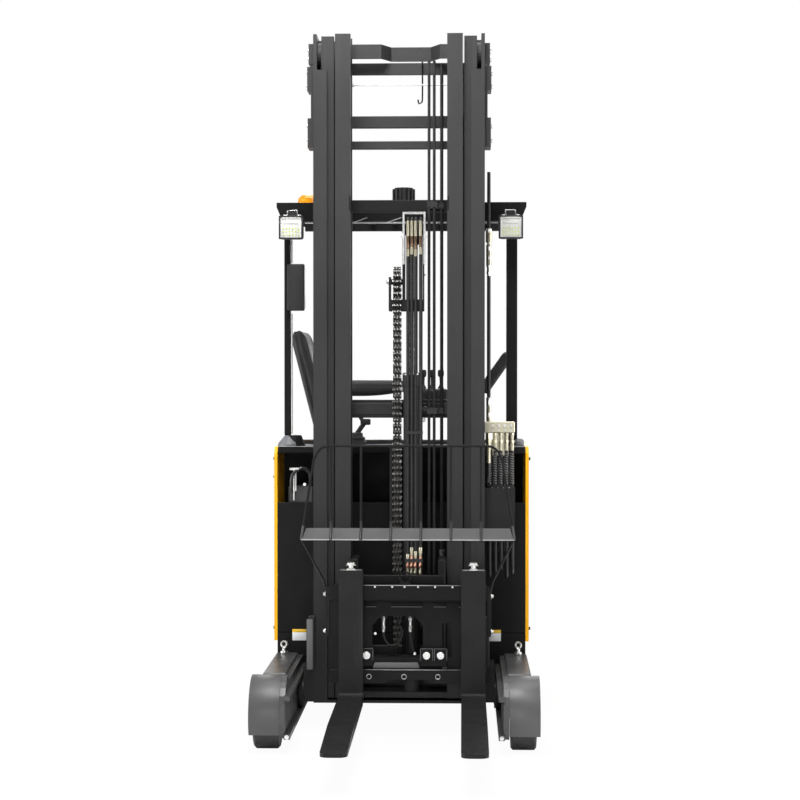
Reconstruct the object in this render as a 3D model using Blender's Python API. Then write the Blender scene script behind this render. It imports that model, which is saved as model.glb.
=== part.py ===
"""Reach truck with a three-stage mast, at its real size in metres.

X runs across the truck, with the operator's entry at +X. Y runs from the fork tips to the rear,
and Z is up. The origin is on the floor, under the middle of the truck with its forks.
The mast is retracted and down, and the forks are a little way up, as the truck parks.
"""
import math

import bmesh
import bpy
from mathutils import Matrix, Vector

# Clearances
GAP = 0.0003            # between fixed pieces that touch
RUN = 0.006             # between pieces that move past each other

# Truck layout along Y
FORK_FACE_Y = -0.180    # front of the fork shanks
FORK_LENGTH = 1.070
LOAD_AXLE_Y = -0.360
WHEELBASE = 1.360
CHASSIS_FRONT_Y = 0.374
REAR_Y = 1.250

# Chassis
CHASSIS_HALF = 0.560    # outer faces of the side panels
PANEL_WALL = 0.014
BASE_BOTTOM = 0.110
BASE_TOP = 0.365
PANEL_LOW = 0.330
BODY_TOP = 1.184
FRONT_WALL_TOP = 0.939
FRONT_WALL = 0.014
REAR_CORNER = 0.090
BULKHEAD_Y = 0.708
BULKHEAD = 0.012
SHROUD_THICKNESS = 0.030
BOOT_TOP = 1.232
FLOOR_THICKNESS = 0.030
ENTRY_FRONT_Y = 0.760   # entry cut-out in the panel at +X
ENTRY_REAR_Y = 1.090
ENTRY_SILL = 0.430

# Load arms, wheels and covers
ARM_OUTER_X = 0.550
ARM_BOX_X = 0.452
ARM_TOP = 0.278
ARM_BOTTOM = 0.100
RAIL_INNER_X = 0.412
RAIL_BOTTOM = 0.060
RAIL_TOP = 0.232
RAIL_FLANGE = 0.020
RAIL_FRONT_Y = -0.505
LOAD_WHEEL_X = 0.512
LOAD_WHEEL_RADIUS = 0.1425
LOAD_WHEEL_WIDTH = 0.105
LOAD_AXLE_RADIUS = 0.018
COVER_RADIUS = 0.1515
COVER_WALL = 0.004
COVER_OUTER_X = 0.580
COVER_BOTTOM = 0.075

# Drive unit
DRIVE_X = -0.100
DRIVE_WHEEL_RADIUS = 0.165
DRIVE_WHEEL_WIDTH = 0.120
DRIVE_WELL_RADIUS = 0.226
MOUNT_PLATE = 0.020
TURNTABLE_RADIUS = 0.150
TURNTABLE_THICKNESS = 0.024
GEAR_CASE_WIDTH = 0.060
MOTOR_RADIUS = 0.105
MOTOR_HEIGHT = 0.300

# Battery
BATTERY_HALF = CHASSIS_HALF - 0.060
BATTERY_DEPTH = 0.290
BATTERY_TOP = 0.900

# Operator's place
MOTOR_COVER_X = 0.060
MOTOR_COVER_TOP = 0.960
MOTOR_COVER_WALL = 0.012
SEAT_WIDTH = 0.410      # along Y
SEAT_Y = 0.980
SEAT_TOP = 1.090
CUSHION_DEPTH = 0.370   # along X
CUSHION_THICKNESS = 0.110
BACK_TOP = 1.717
BACK_FOOT_X = -0.300
BACK_THICKNESS = 0.115
BACK_TOP_THICKNESS = 0.072
BACK_LEAN = 13.6
ARMREST_Y = 0.735
ARMREST_TOP = 1.477
WHEEL_RIM_RADIUS = 0.130
WHEEL_RIM_THICKNESS = 0.026
STEERING_X = 0.290
STEERING_Y = 1.020
STEERING_Z = 1.120
STEERING_TILT = 25.0

# Overhead guard
GUARD_HALF = CHASSIS_HALF - 0.011
GUARD_TOP = 2.258
GUARD_BEAM_HEIGHT = 0.083
GUARD_BEAM_WALL = 0.040
GUARD_FRONT_Y = 0.400
GUARD_REAR_Y = 1.232
GUARD_TUBE = 0.036
GUARD_ROOF_DEPTH = 0.035
ROOF_BAR_WIDTH = 0.022
LIGHT_WIDTH = 0.106
LIGHT_HEIGHT = 0.101
LIGHT_DEPTH = 0.050
LIGHT_X = GUARD_HALF - 0.070
LIGHT_TOP = 2.194

# Mast
MAST_FRONT_Y = 0.060
MAST_BOTTOM = 0.108
MAST_TOP = 2.941
STAGE_STEP = 0.006      # how far each stage's foot stands above the one outside it
INNER_X = (0.204, 0.270)
MIDDLE_X = (0.276, 0.330)
OUTER_X = (0.305, 0.363)
INNER_DEPTH = 0.135
MIDDLE_DEPTH = 0.134
OUTER_DEPTH = 0.178
MIDDLE_SETBACK = 0.030
OUTER_SETBACK = 0.008
FLANGE = 0.016
WEB = 0.015
NOTCH_HEIGHT = 0.150    # the outer front flange stops this far below the top
ROLLER_GAP = 0.0004
LIFT_ROD_X = 0.270
LIFT_ROD_Y = 0.304
LIFT_BARREL_RADIUS = 0.034
LIFT_ROD_RADIUS = 0.020
LIFT_BARREL_TOP = MAST_TOP - 0.391
FREE_LIFT_X = 0.053
FREE_LIFT_Y = 0.105
FREE_BARREL_RADIUS = 0.035
FREE_BARREL_TOP = 1.500
FREE_ROD_RADIUS = 0.020
CHAIN_X = -0.008
CHAIN_RADIUS = 0.055    # pulley axis to chain centre
CHAIN_WIDTH = 0.036
CHAIN_THICKNESS = 0.022
CHAIN_PITCH = 0.0254
PULLEY_Z = 1.895
CHAIN_FRONT_END = 0.650
CHAIN_REAR_END = 0.300
HOSE_PULLEY_Z = 2.105
HOSE_RADIUS = 0.0065
HOSE_XS = (0.038, 0.0545, 0.071, 0.092)
HOSE_LOOP_RADIUS = 0.060
HOSE_FRONT_END = 0.690
REACH_HOSE_RADIUS = 0.007
REACH_LOOP_RADIUS = 0.056
REACH_LOOP_Z = 0.686    # where the lowest loop's bend starts
RETURN_BLOCK_LOW = 0.872
GUARD_PLATE_X = (0.017, 0.113)
GUARD_PLATE_TOP = 2.186
GUARD_PLATE_BOTTOM = 1.966

# Carriage
FORK_WIDTH = 0.100
FORK_THICKNESS = 0.040
FORK_BOTTOM = 0.141
FORK_TOP = 0.697
FORK_TIP_THICKNESS = 0.014
FORK_XS = {"left": -0.190, "right": 0.314}
SIDESHIFT = 0.045       # how far the fork carriage stands to +X
CARRIAGE_HALF = 0.325
CARRIAGE_BOTTOM = 0.225
CARRIAGE_HEIGHT = 0.407
CARRIAGE_BAR = 0.033
UPPER_BAR_HEIGHT = 0.064
LOWER_BAR_HEIGHT = 0.058
TILT_Z = 0.585
TILT_Y = -0.0725
BACKREST_TOP = 1.209
BACKREST_ROD = 0.005
BACKREST_HALF = 0.436
SHELF_Z = 0.828

LEFT, RIGHT = -1.0, 1.0
SIDES = {"left": LEFT, "right": RIGHT}

# Colour, roughness and metallic value of each finish
FINISHES = {
    "mast_paint": ((0.030, 0.030, 0.032), 0.45, 0.0),
    "body_paint": ((0.012, 0.012, 0.013), 0.55, 0.0),
    "yellow_paint": ((0.85, 0.42, 0.02), 0.40, 0.0),
    "shelf_paint": ((0.11, 0.11, 0.115), 0.45, 0.0),
    "seat_vinyl": ((0.012, 0.012, 0.012), 0.60, 0.0),
    "black_plastic": ((0.010, 0.010, 0.011), 0.50, 0.0),
    "tyre": ((0.020, 0.020, 0.021), 0.70, 0.0),
    "steel": ((0.45, 0.45, 0.46), 0.30, 1.0),
    "plated": ((0.62, 0.55, 0.36), 0.35, 1.0),
    "hose_rubber": ((0.008, 0.008, 0.008), 0.60, 0.0),
    "beacon_orange": ((0.95, 0.25, 0.01), 0.25, 0.0),
    "lamp_white": ((0.80, 0.80, 0.74), 0.30, 0.0),
}


def remove_start_objects():
    for old in list(bpy.data.objects):
        bpy.data.objects.remove(old)


def make_collection(name):
    collection = bpy.data.collections.new(name)
    bpy.context.scene.collection.children.link(collection)
    return collection


remove_start_objects()
PARTS = make_collection("reach_truck")


def finish_material(name):
    """The finish of that name, made on its first use."""
    known = bpy.data.materials.get(name)
    if known:
        return known
    colour, roughness, metallic = FINISHES[name]
    material = bpy.data.materials.new(name)
    material.use_nodes = True
    shader = material.node_tree.nodes["Principled BSDF"]
    shader.inputs["Base Color"].default_value = (*colour, 1.0)
    shader.inputs["Roughness"].default_value = roughness
    shader.inputs["Metallic"].default_value = metallic
    return material


def from_bmesh(bm, name="piece"):
    mesh = bpy.data.meshes.new(name)
    bm.to_mesh(mesh)
    bm.free()
    made = bpy.data.objects.new(name, mesh)
    PARTS.objects.link(made)
    return made


def box(x, y, z, bevel=0.0, segments=1):
    """A box between two limits on each axis, with its edges bevelled if asked."""
    bm = bmesh.new()
    size = (x[1] - x[0], y[1] - y[0], z[1] - z[0])
    middle = Vector(((x[0] + x[1]) / 2, (y[0] + y[1]) / 2, (z[0] + z[1]) / 2))
    bmesh.ops.create_cube(bm, size=1.0, matrix=Matrix.Translation(middle) @ Matrix.Diagonal((*size, 1)))
    if bevel:
        bmesh.ops.bevel(bm, geom=bm.edges[:], offset=bevel, segments=segments, profile=0.5,
                        affect="EDGES", material=-1)
    return from_bmesh(bm)


TURNS = {
    "X": Matrix.Rotation(math.pi / 2, 4, "Y"),
    "Y": Matrix.Rotation(-math.pi / 2, 4, "X"),
    "Z": Matrix.Identity(4),
}


def rod(axis, centre, radius, length, sides=20, far_radius=None):
    """A round bar about an axis of the truck, centred on a point."""
    bm = bmesh.new()
    far = radius if far_radius is None else far_radius
    bmesh.ops.create_cone(bm, cap_ends=True, segments=sides, radius1=radius, radius2=far, depth=length,
                          matrix=Matrix.Translation(Vector(centre)) @ TURNS[axis])
    return from_bmesh(bm)


PLANES = {
    "X": lambda u, v, w: (w, u, v),
    "Y": lambda u, v, w: (u, w, v),
    "Z": lambda u, v, w: (u, v, w),
}


def prism(axis, outline, start, end):
    """A flat outline drawn square to an axis and extruded along it.

    The outline's pairs are (Y, Z) for X, (X, Z) for Y and (X, Y) for Z.
    """
    bm = bmesh.new()
    place = PLANES[axis]
    corners = [bm.verts.new(place(u, v, start)) for u, v in outline]
    face = bm.faces.new(corners)
    grown = bmesh.ops.extrude_face_region(bm, geom=[face])
    moved = [item for item in grown["geom"] if isinstance(item, bmesh.types.BMVert)]
    bmesh.ops.translate(bm, verts=moved, vec=Vector(place(0, 0, end - start)))
    bmesh.ops.recalc_face_normals(bm, faces=bm.faces[:])
    return from_bmesh(bm)


def arc(centre, radius, start, end, steps):
    """Points on an arc in an outline, with its angles in degrees."""
    points = []
    for step in range(steps + 1):
        angle = math.radians(start + (end - start) * step / steps)
        points.append((centre[0] + radius * math.cos(angle), centre[1] + radius * math.sin(angle)))
    return points


def turned(axis, centre, profile, steps=32):
    """A closed profile of (radius, offset along the axis) turned about an axis of the truck.

    A profile that meets the axis stays open there.
    """
    bm = bmesh.new()
    ring = [bm.verts.new((radius, 0.0, offset)) for radius, offset in profile]
    edges = []
    for i, start in enumerate(ring):
        end = ring[(i + 1) % len(ring)]
        if start.co.x > 0 or end.co.x > 0:
            edges.append(bm.edges.new((start, end)))
    bmesh.ops.spin(bm, geom=ring + edges, cent=(0, 0, 0), axis=(0, 0, 1), angle=2 * math.pi,
                   steps=steps, use_merge=True)
    bmesh.ops.remove_doubles(bm, verts=bm.verts[:], dist=1e-6)
    bmesh.ops.recalc_face_normals(bm, faces=bm.faces[:])
    bmesh.ops.transform(bm, matrix=Matrix.Translation(Vector(centre)) @ TURNS[axis], verts=bm.verts[:])
    return from_bmesh(bm)


def loft(rings):
    """A closed body through rings of points, with as many points in each ring."""
    bm = bmesh.new()
    rows = [[bm.verts.new(point) for point in ring] for ring in rings]
    count = len(rows[0])
    for row, following in zip(rows, rows[1:]):
        for i in range(count):
            j = (i + 1) % count
            bm.faces.new((row[i], row[j], following[j], following[i]))
    bm.faces.new(rows[0])
    bm.faces.new(rows[-1])
    bmesh.ops.recalc_face_normals(bm, faces=bm.faces[:])
    return from_bmesh(bm)


def smooth_path(points, spacing):
    """Points a little way apart on a smooth curve through the given ones."""
    points = [Vector(point) for point in points]
    ends = [2 * points[0] - points[1]] + points + [2 * points[-1] - points[-2]]
    path = [points[0]]
    for before, start, end, after in zip(ends, ends[1:], ends[2:], ends[3:]):
        steps = max(1, round((end - start).length / spacing))
        for step in range(1, steps + 1):
            t = step / steps
            path.append(0.5 * (2 * start + (end - before) * t
                               + (2 * before - 5 * start + 4 * end - after) * t * t
                               + (3 * start - before - 3 * end + after) * t ** 3))
    return path


def tube(points, radius, resolution=2):
    """A round tube through points, with filled caps, made a mesh."""
    curve = bpy.data.curves.new("tube", "CURVE")
    curve.dimensions = "3D"
    curve.bevel_depth = radius
    curve.bevel_resolution = resolution
    curve.use_fill_caps = True
    spline = curve.splines.new("POLY")
    spline.points.add(len(points) - 1)
    for point, place in zip(spline.points, points):
        point.co = (*place, 1.0)
    guide = bpy.data.objects.new("tube", curve)
    PARTS.objects.link(guide)
    bpy.context.view_layer.update()
    mesh = bpy.data.meshes.new_from_object(guide.evaluated_get(bpy.context.evaluated_depsgraph_get()))
    bpy.data.objects.remove(guide)
    bm = bmesh.new()
    bm.from_mesh(mesh)
    bmesh.ops.remove_doubles(bm, verts=bm.verts[:], dist=1e-6)
    bmesh.ops.recalc_face_normals(bm, faces=bm.faces[:])
    return from_bmesh(bm)


def boolean(target, other, operation):
    """Joins another piece to the target, or cuts it away, and removes that piece."""
    change = target.modifiers.new("boolean", "BOOLEAN")
    change.operation = operation
    change.solver = "EXACT"
    change.object = other
    bpy.context.view_layer.update()
    depsgraph = bpy.context.evaluated_depsgraph_get()
    mesh = bpy.data.meshes.new_from_object(target.evaluated_get(depsgraph))
    target.modifiers.clear()
    target.data = mesh
    bpy.data.objects.remove(other)


def fuse(target, *others):
    for other in others:
        boolean(target, other, "UNION")
    return target


def cut(target, *others):
    for other in others:
        boolean(target, other, "DIFFERENCE")
    return target


def turn(piece, angle, axis, about):
    """Turns a piece's mesh by degrees about an axis through a point."""
    centre = Matrix.Translation(Vector(about))
    piece.data.transform(centre @ Matrix.Rotation(math.radians(angle), 4, axis) @ centre.inverted())
    return piece


BODIES = {}


def add_body(name, place, parent=None):
    """An empty on a joint's axis that carries the pieces of one moving body."""
    empty = bpy.data.objects.new(name + "_axis", None)
    PARTS.objects.link(empty)
    base = Vector((0, 0, 0))
    if parent:
        empty.parent = BODIES[parent][0]
        base = BODIES[parent][1]
    empty.location = Vector(place) - base
    BODIES[name] = (empty, Vector(place))


def keep(piece, name, finish, body=None):
    """Names a finished piece, gives it its finish and sets it on its body."""
    piece.name = name
    piece.data.name = name
    bm = bmesh.new()
    bm.from_mesh(piece.data)
    bmesh.ops.remove_doubles(bm, verts=bm.verts[:], dist=2e-6)
    bmesh.ops.dissolve_degenerate(bm, edges=bm.edges[:], dist=2e-6)
    bmesh.ops.recalc_face_normals(bm, faces=bm.faces[:])
    bm.to_mesh(piece.data)
    bm.free()
    piece.data.materials.clear()
    piece.data.materials.append(finish_material(finish))
    piece.data.shade_smooth()
    piece.data.set_sharp_from_angle(angle=math.radians(35))
    if body:
        empty, place = BODIES[body]
        piece.data.transform(Matrix.Translation(-place))
        piece.parent = empty
    return piece


def mirrored(limits, side):
    """A span on +X, put on the given side of the truck."""
    low, high = sorted((limits[0] * side, limits[1] * side))
    return low, high


DRIVE_Y = LOAD_AXLE_Y + WHEELBASE
PANEL_INNER = CHASSIS_HALF - PANEL_WALL
ROOM = PANEL_INNER - GAP            # half the width between the side panels
BASE_SEAT = BASE_TOP + GAP          # where pieces stand on the base


def rear_corner(side, inset):
    """A rounded rear corner's points, set in from the panels' outer faces, from +X towards -X."""
    radius = REAR_CORNER + PANEL_WALL
    centre = (side * (CHASSIS_HALF - radius), REAR_Y - radius)
    start = 0 if side == RIGHT else 90
    return arc(centre, radius - inset, start, start + 90, 6)


def chassis_base():
    """The welded base, with rounded rear corners and a well for the drive unit."""
    inset = PANEL_WALL + GAP
    outline = [(-ROOM, CHASSIS_FRONT_Y), (ROOM, CHASSIS_FRONT_Y)]
    outline += rear_corner(RIGHT, inset) + rear_corner(LEFT, inset)
    base = prism("Z", outline, BASE_BOTTOM, BASE_TOP)
    middle = (BASE_BOTTOM + BASE_TOP) / 2
    cut(base, rod("Z", (DRIVE_X, DRIVE_Y, middle), DRIVE_WELL_RADIUS, 1.0, 32))
    keep(base, "chassis_base", "body_paint")


def load_arm(name, side):
    """One load arm: its box, the reach rail inside it and the cheek that holds the wheel's axle."""
    back = CHASSIS_FRONT_Y - GAP
    box_front = LOAD_AXLE_Y + COVER_RADIUS + GAP
    arm = box(mirrored((ARM_BOX_X, ARM_OUTER_X), side), (box_front, back), (ARM_BOTTOM, ARM_TOP), 0.006)
    cheek_outline = arc((LOAD_AXLE_Y, LOAD_WHEEL_RADIUS), COVER_RADIUS, 90, 200, 8)
    cheek_outline += [(RAIL_FRONT_Y + 0.03, RAIL_BOTTOM), (back, RAIL_BOTTOM), (back, ARM_TOP - 0.010)]
    cheek_outline += [(LOAD_AXLE_Y + 0.05, ARM_TOP - 0.010)]
    cheek_span = mirrored((RAIL_INNER_X + RAIL_FLANGE, ARM_BOX_X + 0.002), side)
    cheek = prism("X", cheek_outline, *cheek_span)
    fuse(arm, cheek)
    rail_x = mirrored((RAIL_INNER_X, RAIL_INNER_X + RAIL_FLANGE + 0.004), side)
    for low in (RAIL_BOTTOM, RAIL_TOP - RAIL_FLANGE):
        fuse(arm, box(rail_x, (RAIL_FRONT_Y, back - 0.001), (low + 0.0005, low + RAIL_FLANGE)))
    axle_end = LOAD_WHEEL_X + LOAD_WHEEL_WIDTH / 2 + 0.006
    axle_middle = side * (ARM_BOX_X + axle_end) / 2
    fuse(arm, rod("X", (axle_middle, LOAD_AXLE_Y, LOAD_WHEEL_RADIUS), LOAD_AXLE_RADIUS,
                  axle_end - ARM_BOX_X + 0.004, 20))
    keep(arm, name, "mast_paint")


def wheel_cover(name, side):
    """The round cover over a load wheel, closed at its outer side."""
    centre = (LOAD_AXLE_Y, LOAD_WHEEL_RADIUS)
    low = math.degrees(math.asin((COVER_BOTTOM - LOAD_WHEEL_RADIUS) / COVER_RADIUS))
    shell = arc(centre, COVER_RADIUS, 0, 180 - low, 16)
    shell += arc(centre, COVER_RADIUS - COVER_WALL, 180 - low, 0, 16)
    cover = prism("X", shell, *mirrored((ARM_BOX_X + GAP + 0.002, COVER_OUTER_X), side))
    plate_outline = arc(centre, COVER_RADIUS, low, 0, 2) + arc(centre, COVER_RADIUS, 0, 180 - low, 16)[1:]
    plate = prism("X", plate_outline, *mirrored((COVER_OUTER_X - COVER_WALL, COVER_OUTER_X), side))
    fuse(cover, plate)
    keep(cover, name, "mast_paint")


def load_wheel(name, side, body):
    """A load wheel: a polyurethane tyre on a hub with a bore for its axle."""
    half = LOAD_WHEEL_WIDTH / 2
    bore = LOAD_AXLE_RADIUS + 0.001
    tread = LOAD_WHEEL_RADIUS
    profile = [(bore, -half), (0.050, -half), (0.056, -half + 0.008), (0.100, -half + 0.008),
               (0.106, -half + 0.002), (tread - 0.008, -half + 0.002), (tread, -half + 0.010)]
    profile += [(radius, -offset) for radius, offset in reversed(profile)]
    wheel = turned("X", (side * LOAD_WHEEL_X, LOAD_AXLE_Y, LOAD_WHEEL_RADIUS), profile, 28)
    keep(wheel, name, "tyre", body)


def drive_unit():
    """The mount plate and motor, and the steered turntable with its gear case and wheel."""
    plate_z = (BASE_SEAT, BASE_SEAT + MOUNT_PLATE)
    reach = DRIVE_WELL_RADIUS + 0.009
    plate = rod("Z", (DRIVE_X, DRIVE_Y, sum(plate_z) / 2), reach, MOUNT_PLATE, 32)
    keep(plate, "drive_mount", "mast_paint")
    motor_low = plate_z[1] + GAP
    motor = rod("Z", (DRIVE_X, DRIVE_Y, motor_low + MOTOR_HEIGHT / 2), MOTOR_RADIUS, MOTOR_HEIGHT, 24)
    keep(motor, "drive_motor", "body_paint")
    table_top = BASE_TOP
    table = rod("Z", (DRIVE_X, DRIVE_Y, table_top - TURNTABLE_THICKNESS / 2), TURNTABLE_RADIUS,
                TURNTABLE_THICKNESS, 28)
    case_x = DRIVE_X + DRIVE_WHEEL_WIDTH / 2 + 0.008
    case_outline = arc((DRIVE_Y, DRIVE_WHEEL_RADIUS), 0.085, 180, 360, 10)
    case_outline += [(DRIVE_Y + 0.100, table_top - 0.010), (DRIVE_Y - 0.100, table_top - 0.010)]
    fuse(table, prism("X", case_outline, case_x, case_x + GEAR_CASE_WIDTH))
    stub_length = DRIVE_WHEEL_WIDTH * 0.8
    fuse(table, rod("X", (case_x + 0.005 - stub_length / 2, DRIVE_Y, DRIVE_WHEEL_RADIUS), 0.031,
                    stub_length, 20))
    keep(table, "drive_turntable", "mast_paint", "drive_turntable")
    half = DRIVE_WHEEL_WIDTH / 2
    tread = DRIVE_WHEEL_RADIUS
    profile = [(0.0315, -half + 0.014), (0.055, -half + 0.014), (0.060, -half + 0.020), (0.105, -half + 0.020),
               (0.112, -half), (tread - 0.010, -half), (tread, -half + 0.012)]
    profile += [(radius, -offset) for radius, offset in reversed(profile)]
    wheel = turned("X", (DRIVE_X, DRIVE_Y, DRIVE_WHEEL_RADIUS), profile, 28)
    keep(wheel, "drive_wheel", "tyre", "drive_wheel")


def body_panels():
    """The side and rear panels, front wall, bulkhead and shroud round the battery."""
    side_end = REAR_Y - REAR_CORNER - PANEL_WALL
    for side_name, side in SIDES.items():
        outline = [(CHASSIS_FRONT_Y, PANEL_LOW), (side_end - GAP, PANEL_LOW)]
        if side == RIGHT:
            outline += [(side_end - GAP, BODY_TOP), (ENTRY_REAR_Y, BODY_TOP)]
            outline += [(ENTRY_REAR_Y, ENTRY_SILL), (ENTRY_FRONT_Y, ENTRY_SILL), (ENTRY_FRONT_Y, BODY_TOP - 0.04)]
            outline += [(ENTRY_FRONT_Y - 0.04, BODY_TOP)]
        else:
            outline += [(side_end - GAP, BODY_TOP)]
        outline += [(CHASSIS_FRONT_Y + 0.030, BODY_TOP), (CHASSIS_FRONT_Y, BODY_TOP - 0.030)]
        panel = prism("X", outline, *mirrored((PANEL_INNER, CHASSIS_HALF), side))
        keep(panel, "side_panel_" + side_name, "yellow_paint")
    outer = rear_corner(RIGHT, 0.0) + rear_corner(LEFT, 0.0)
    inner = rear_corner(RIGHT, PANEL_WALL) + rear_corner(LEFT, PANEL_WALL)
    rear = prism("Z", outer + list(reversed(inner)), PANEL_LOW, BODY_TOP)
    keep(rear, "rear_panel", "yellow_paint")
    wall_y = (CHASSIS_FRONT_Y, CHASSIS_FRONT_Y + FRONT_WALL)
    wall = box((-ROOM, ROOM), wall_y, (BASE_SEAT, FRONT_WALL_TOP), 0.003)
    keep(wall, "front_wall", "body_paint")
    shroud_low = BODY_TOP - SHROUD_THICKNESS
    bulkhead = box((-ROOM, ROOM), (BULKHEAD_Y, BULKHEAD_Y + BULKHEAD), (BASE_SEAT, shroud_low - GAP))
    keep(bulkhead, "bulkhead", "body_paint")
    shroud = box((-ROOM, ROOM), (CHASSIS_FRONT_Y, BULKHEAD_Y + BULKHEAD), (shroud_low, BODY_TOP), 0.006)
    boot_y = CHASSIS_FRONT_Y + 0.095
    boot = rod("Z", (-ROOM + 0.062, boot_y, (BODY_TOP + BOOT_TOP) / 2 - 0.005), 0.060,
               BOOT_TOP - BODY_TOP + 0.010, 20, 0.036)
    fuse(shroud, boot)
    keep(shroud, "top_shroud", "body_paint")
    battery_y = (CHASSIS_FRONT_Y + FRONT_WALL + GAP, CHASSIS_FRONT_Y + FRONT_WALL + BATTERY_DEPTH)
    battery = box((-BATTERY_HALF, BATTERY_HALF), battery_y, (BASE_SEAT, BATTERY_TOP), 0.008)
    keep(battery, "battery", "mast_paint")


def operator_place():
    """The motor cover that carries the seat, the floor, the console and the controls."""
    back_y = REAR_Y - PANEL_WALL - GAP
    front_y = BULKHEAD_Y + BULKHEAD + GAP
    inset = PANEL_WALL + GAP
    cover_x = (-ROOM, MOTOR_COVER_X)
    cover_outline = [(cover_x[0], front_y), (cover_x[1], front_y), (cover_x[1], back_y)]
    cover_outline += rear_corner(LEFT, inset)
    cover = prism("Z", cover_outline, BASE_SEAT + MOUNT_PLATE + GAP, MOTOR_COVER_TOP)
    wall = MOTOR_COVER_WALL
    hollow = box((cover_x[0] + wall, cover_x[1] - wall), (front_y + wall, back_y - REAR_CORNER * 0.4),
                 (0.2, MOTOR_COVER_TOP - wall))
    cut(cover, hollow)
    keep(cover, "motor_cover", "body_paint")
    floor_outline = [(MOTOR_COVER_X + GAP, front_y), (ROOM, front_y)]
    floor_outline += rear_corner(RIGHT, inset)
    floor_outline += [(MOTOR_COVER_X + GAP, back_y)]
    floor_z = BASE_SEAT + MOUNT_PLATE + GAP
    floor = prism("Z", floor_outline, floor_z, floor_z + FLOOR_THICKNESS)
    keep(floor, "operator_floor", "black_plastic")
    floor_top = floor_z + FLOOR_THICKNESS
    console_x = (MOTOR_COVER_X + 0.020, ROOM - 0.060)
    console_y = (STEERING_Y + 0.080, back_y - 0.004)
    console = box(console_x, console_y, (floor_top + GAP, STEERING_Z - 0.085), 0.016)
    keep(console, "steering_console", "black_plastic")
    seat()


def seat():
    """The seat faces +X: its cushion on the motor cover, its leaning back and its armrest."""
    seat_y = (SEAT_Y - SEAT_WIDTH / 2, SEAT_Y + SEAT_WIDTH / 2)
    back_foot_x = BACK_FOOT_X
    cushion_x = (back_foot_x + GAP, back_foot_x + CUSHION_DEPTH)
    cushion_low = SEAT_TOP - CUSHION_THICKNESS
    pan = box((cushion_x[0] + 0.02, cushion_x[1] - 0.04), (seat_y[0] + 0.05, seat_y[1] - 0.05),
              (MOTOR_COVER_TOP + GAP, cushion_low - GAP), 0.004)
    arm_y = (ARMREST_Y - 0.030, ARMREST_Y + 0.030)
    post = box((-0.310, -0.250), (arm_y[0] + 0.016, seat_y[0] + 0.08),
               (MOTOR_COVER_TOP + 0.0010, MOTOR_COVER_TOP + 0.016))
    fuse(pan, post)
    keep(pan, "seat_base", "black_plastic")
    cushion = box(cushion_x, seat_y, (cushion_low, SEAT_TOP), 0.030, 2)
    keep(cushion, "seat_cushion", "seat_vinyl")
    low = cushion_low + 0.010
    top_x = back_foot_x - (BACK_TOP - SEAT_TOP + 0.01) * math.tan(math.radians(BACK_LEAN))
    back_outline = [(back_foot_x, low), (back_foot_x, SEAT_TOP + 0.02), (top_x, BACK_TOP - 0.030), (top_x - 0.006, BACK_TOP)]
    back_outline += [(top_x - BACK_TOP_THICKNESS, BACK_TOP), (top_x - BACK_TOP_THICKNESS, BACK_TOP - 0.030)]
    back_outline += [(back_foot_x - BACK_THICKNESS, SEAT_TOP + 0.15), (back_foot_x - BACK_THICKNESS, low)]
    back = prism("Y", back_outline, *seat_y)
    keep(back, "seat_back", "seat_vinyl")
    stalk = box((-0.300, -0.262), (arm_y[0] + 0.020, arm_y[1] - 0.020),
                (MOTOR_COVER_TOP + 0.0165, ARMREST_TOP - 0.06))
    rest = box((-0.310, 0.040), arm_y, (ARMREST_TOP - 0.074, ARMREST_TOP), 0.020, 2)
    fuse(rest, stalk)
    panel = box((0.020, 0.200), (arm_y[0], arm_y[1]), (ARMREST_TOP - 0.098, ARMREST_TOP - 0.040), 0.012)
    fuse(rest, panel)
    for lever_x in (0.090, 0.130, 0.170):
        lever_y = ARMREST_Y + 0.014 * (lever_x - 0.130) / 0.040
        fuse(rest, rod("Z", (lever_x, lever_y, ARMREST_TOP - 0.015), 0.006, 0.060, 8))
        fuse(rest, rod("Z", (lever_x, lever_y, ARMREST_TOP + 0.028), 0.011, 0.032, 10, 0.013))
    keep(rest, "armrest", "seat_vinyl")


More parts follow.
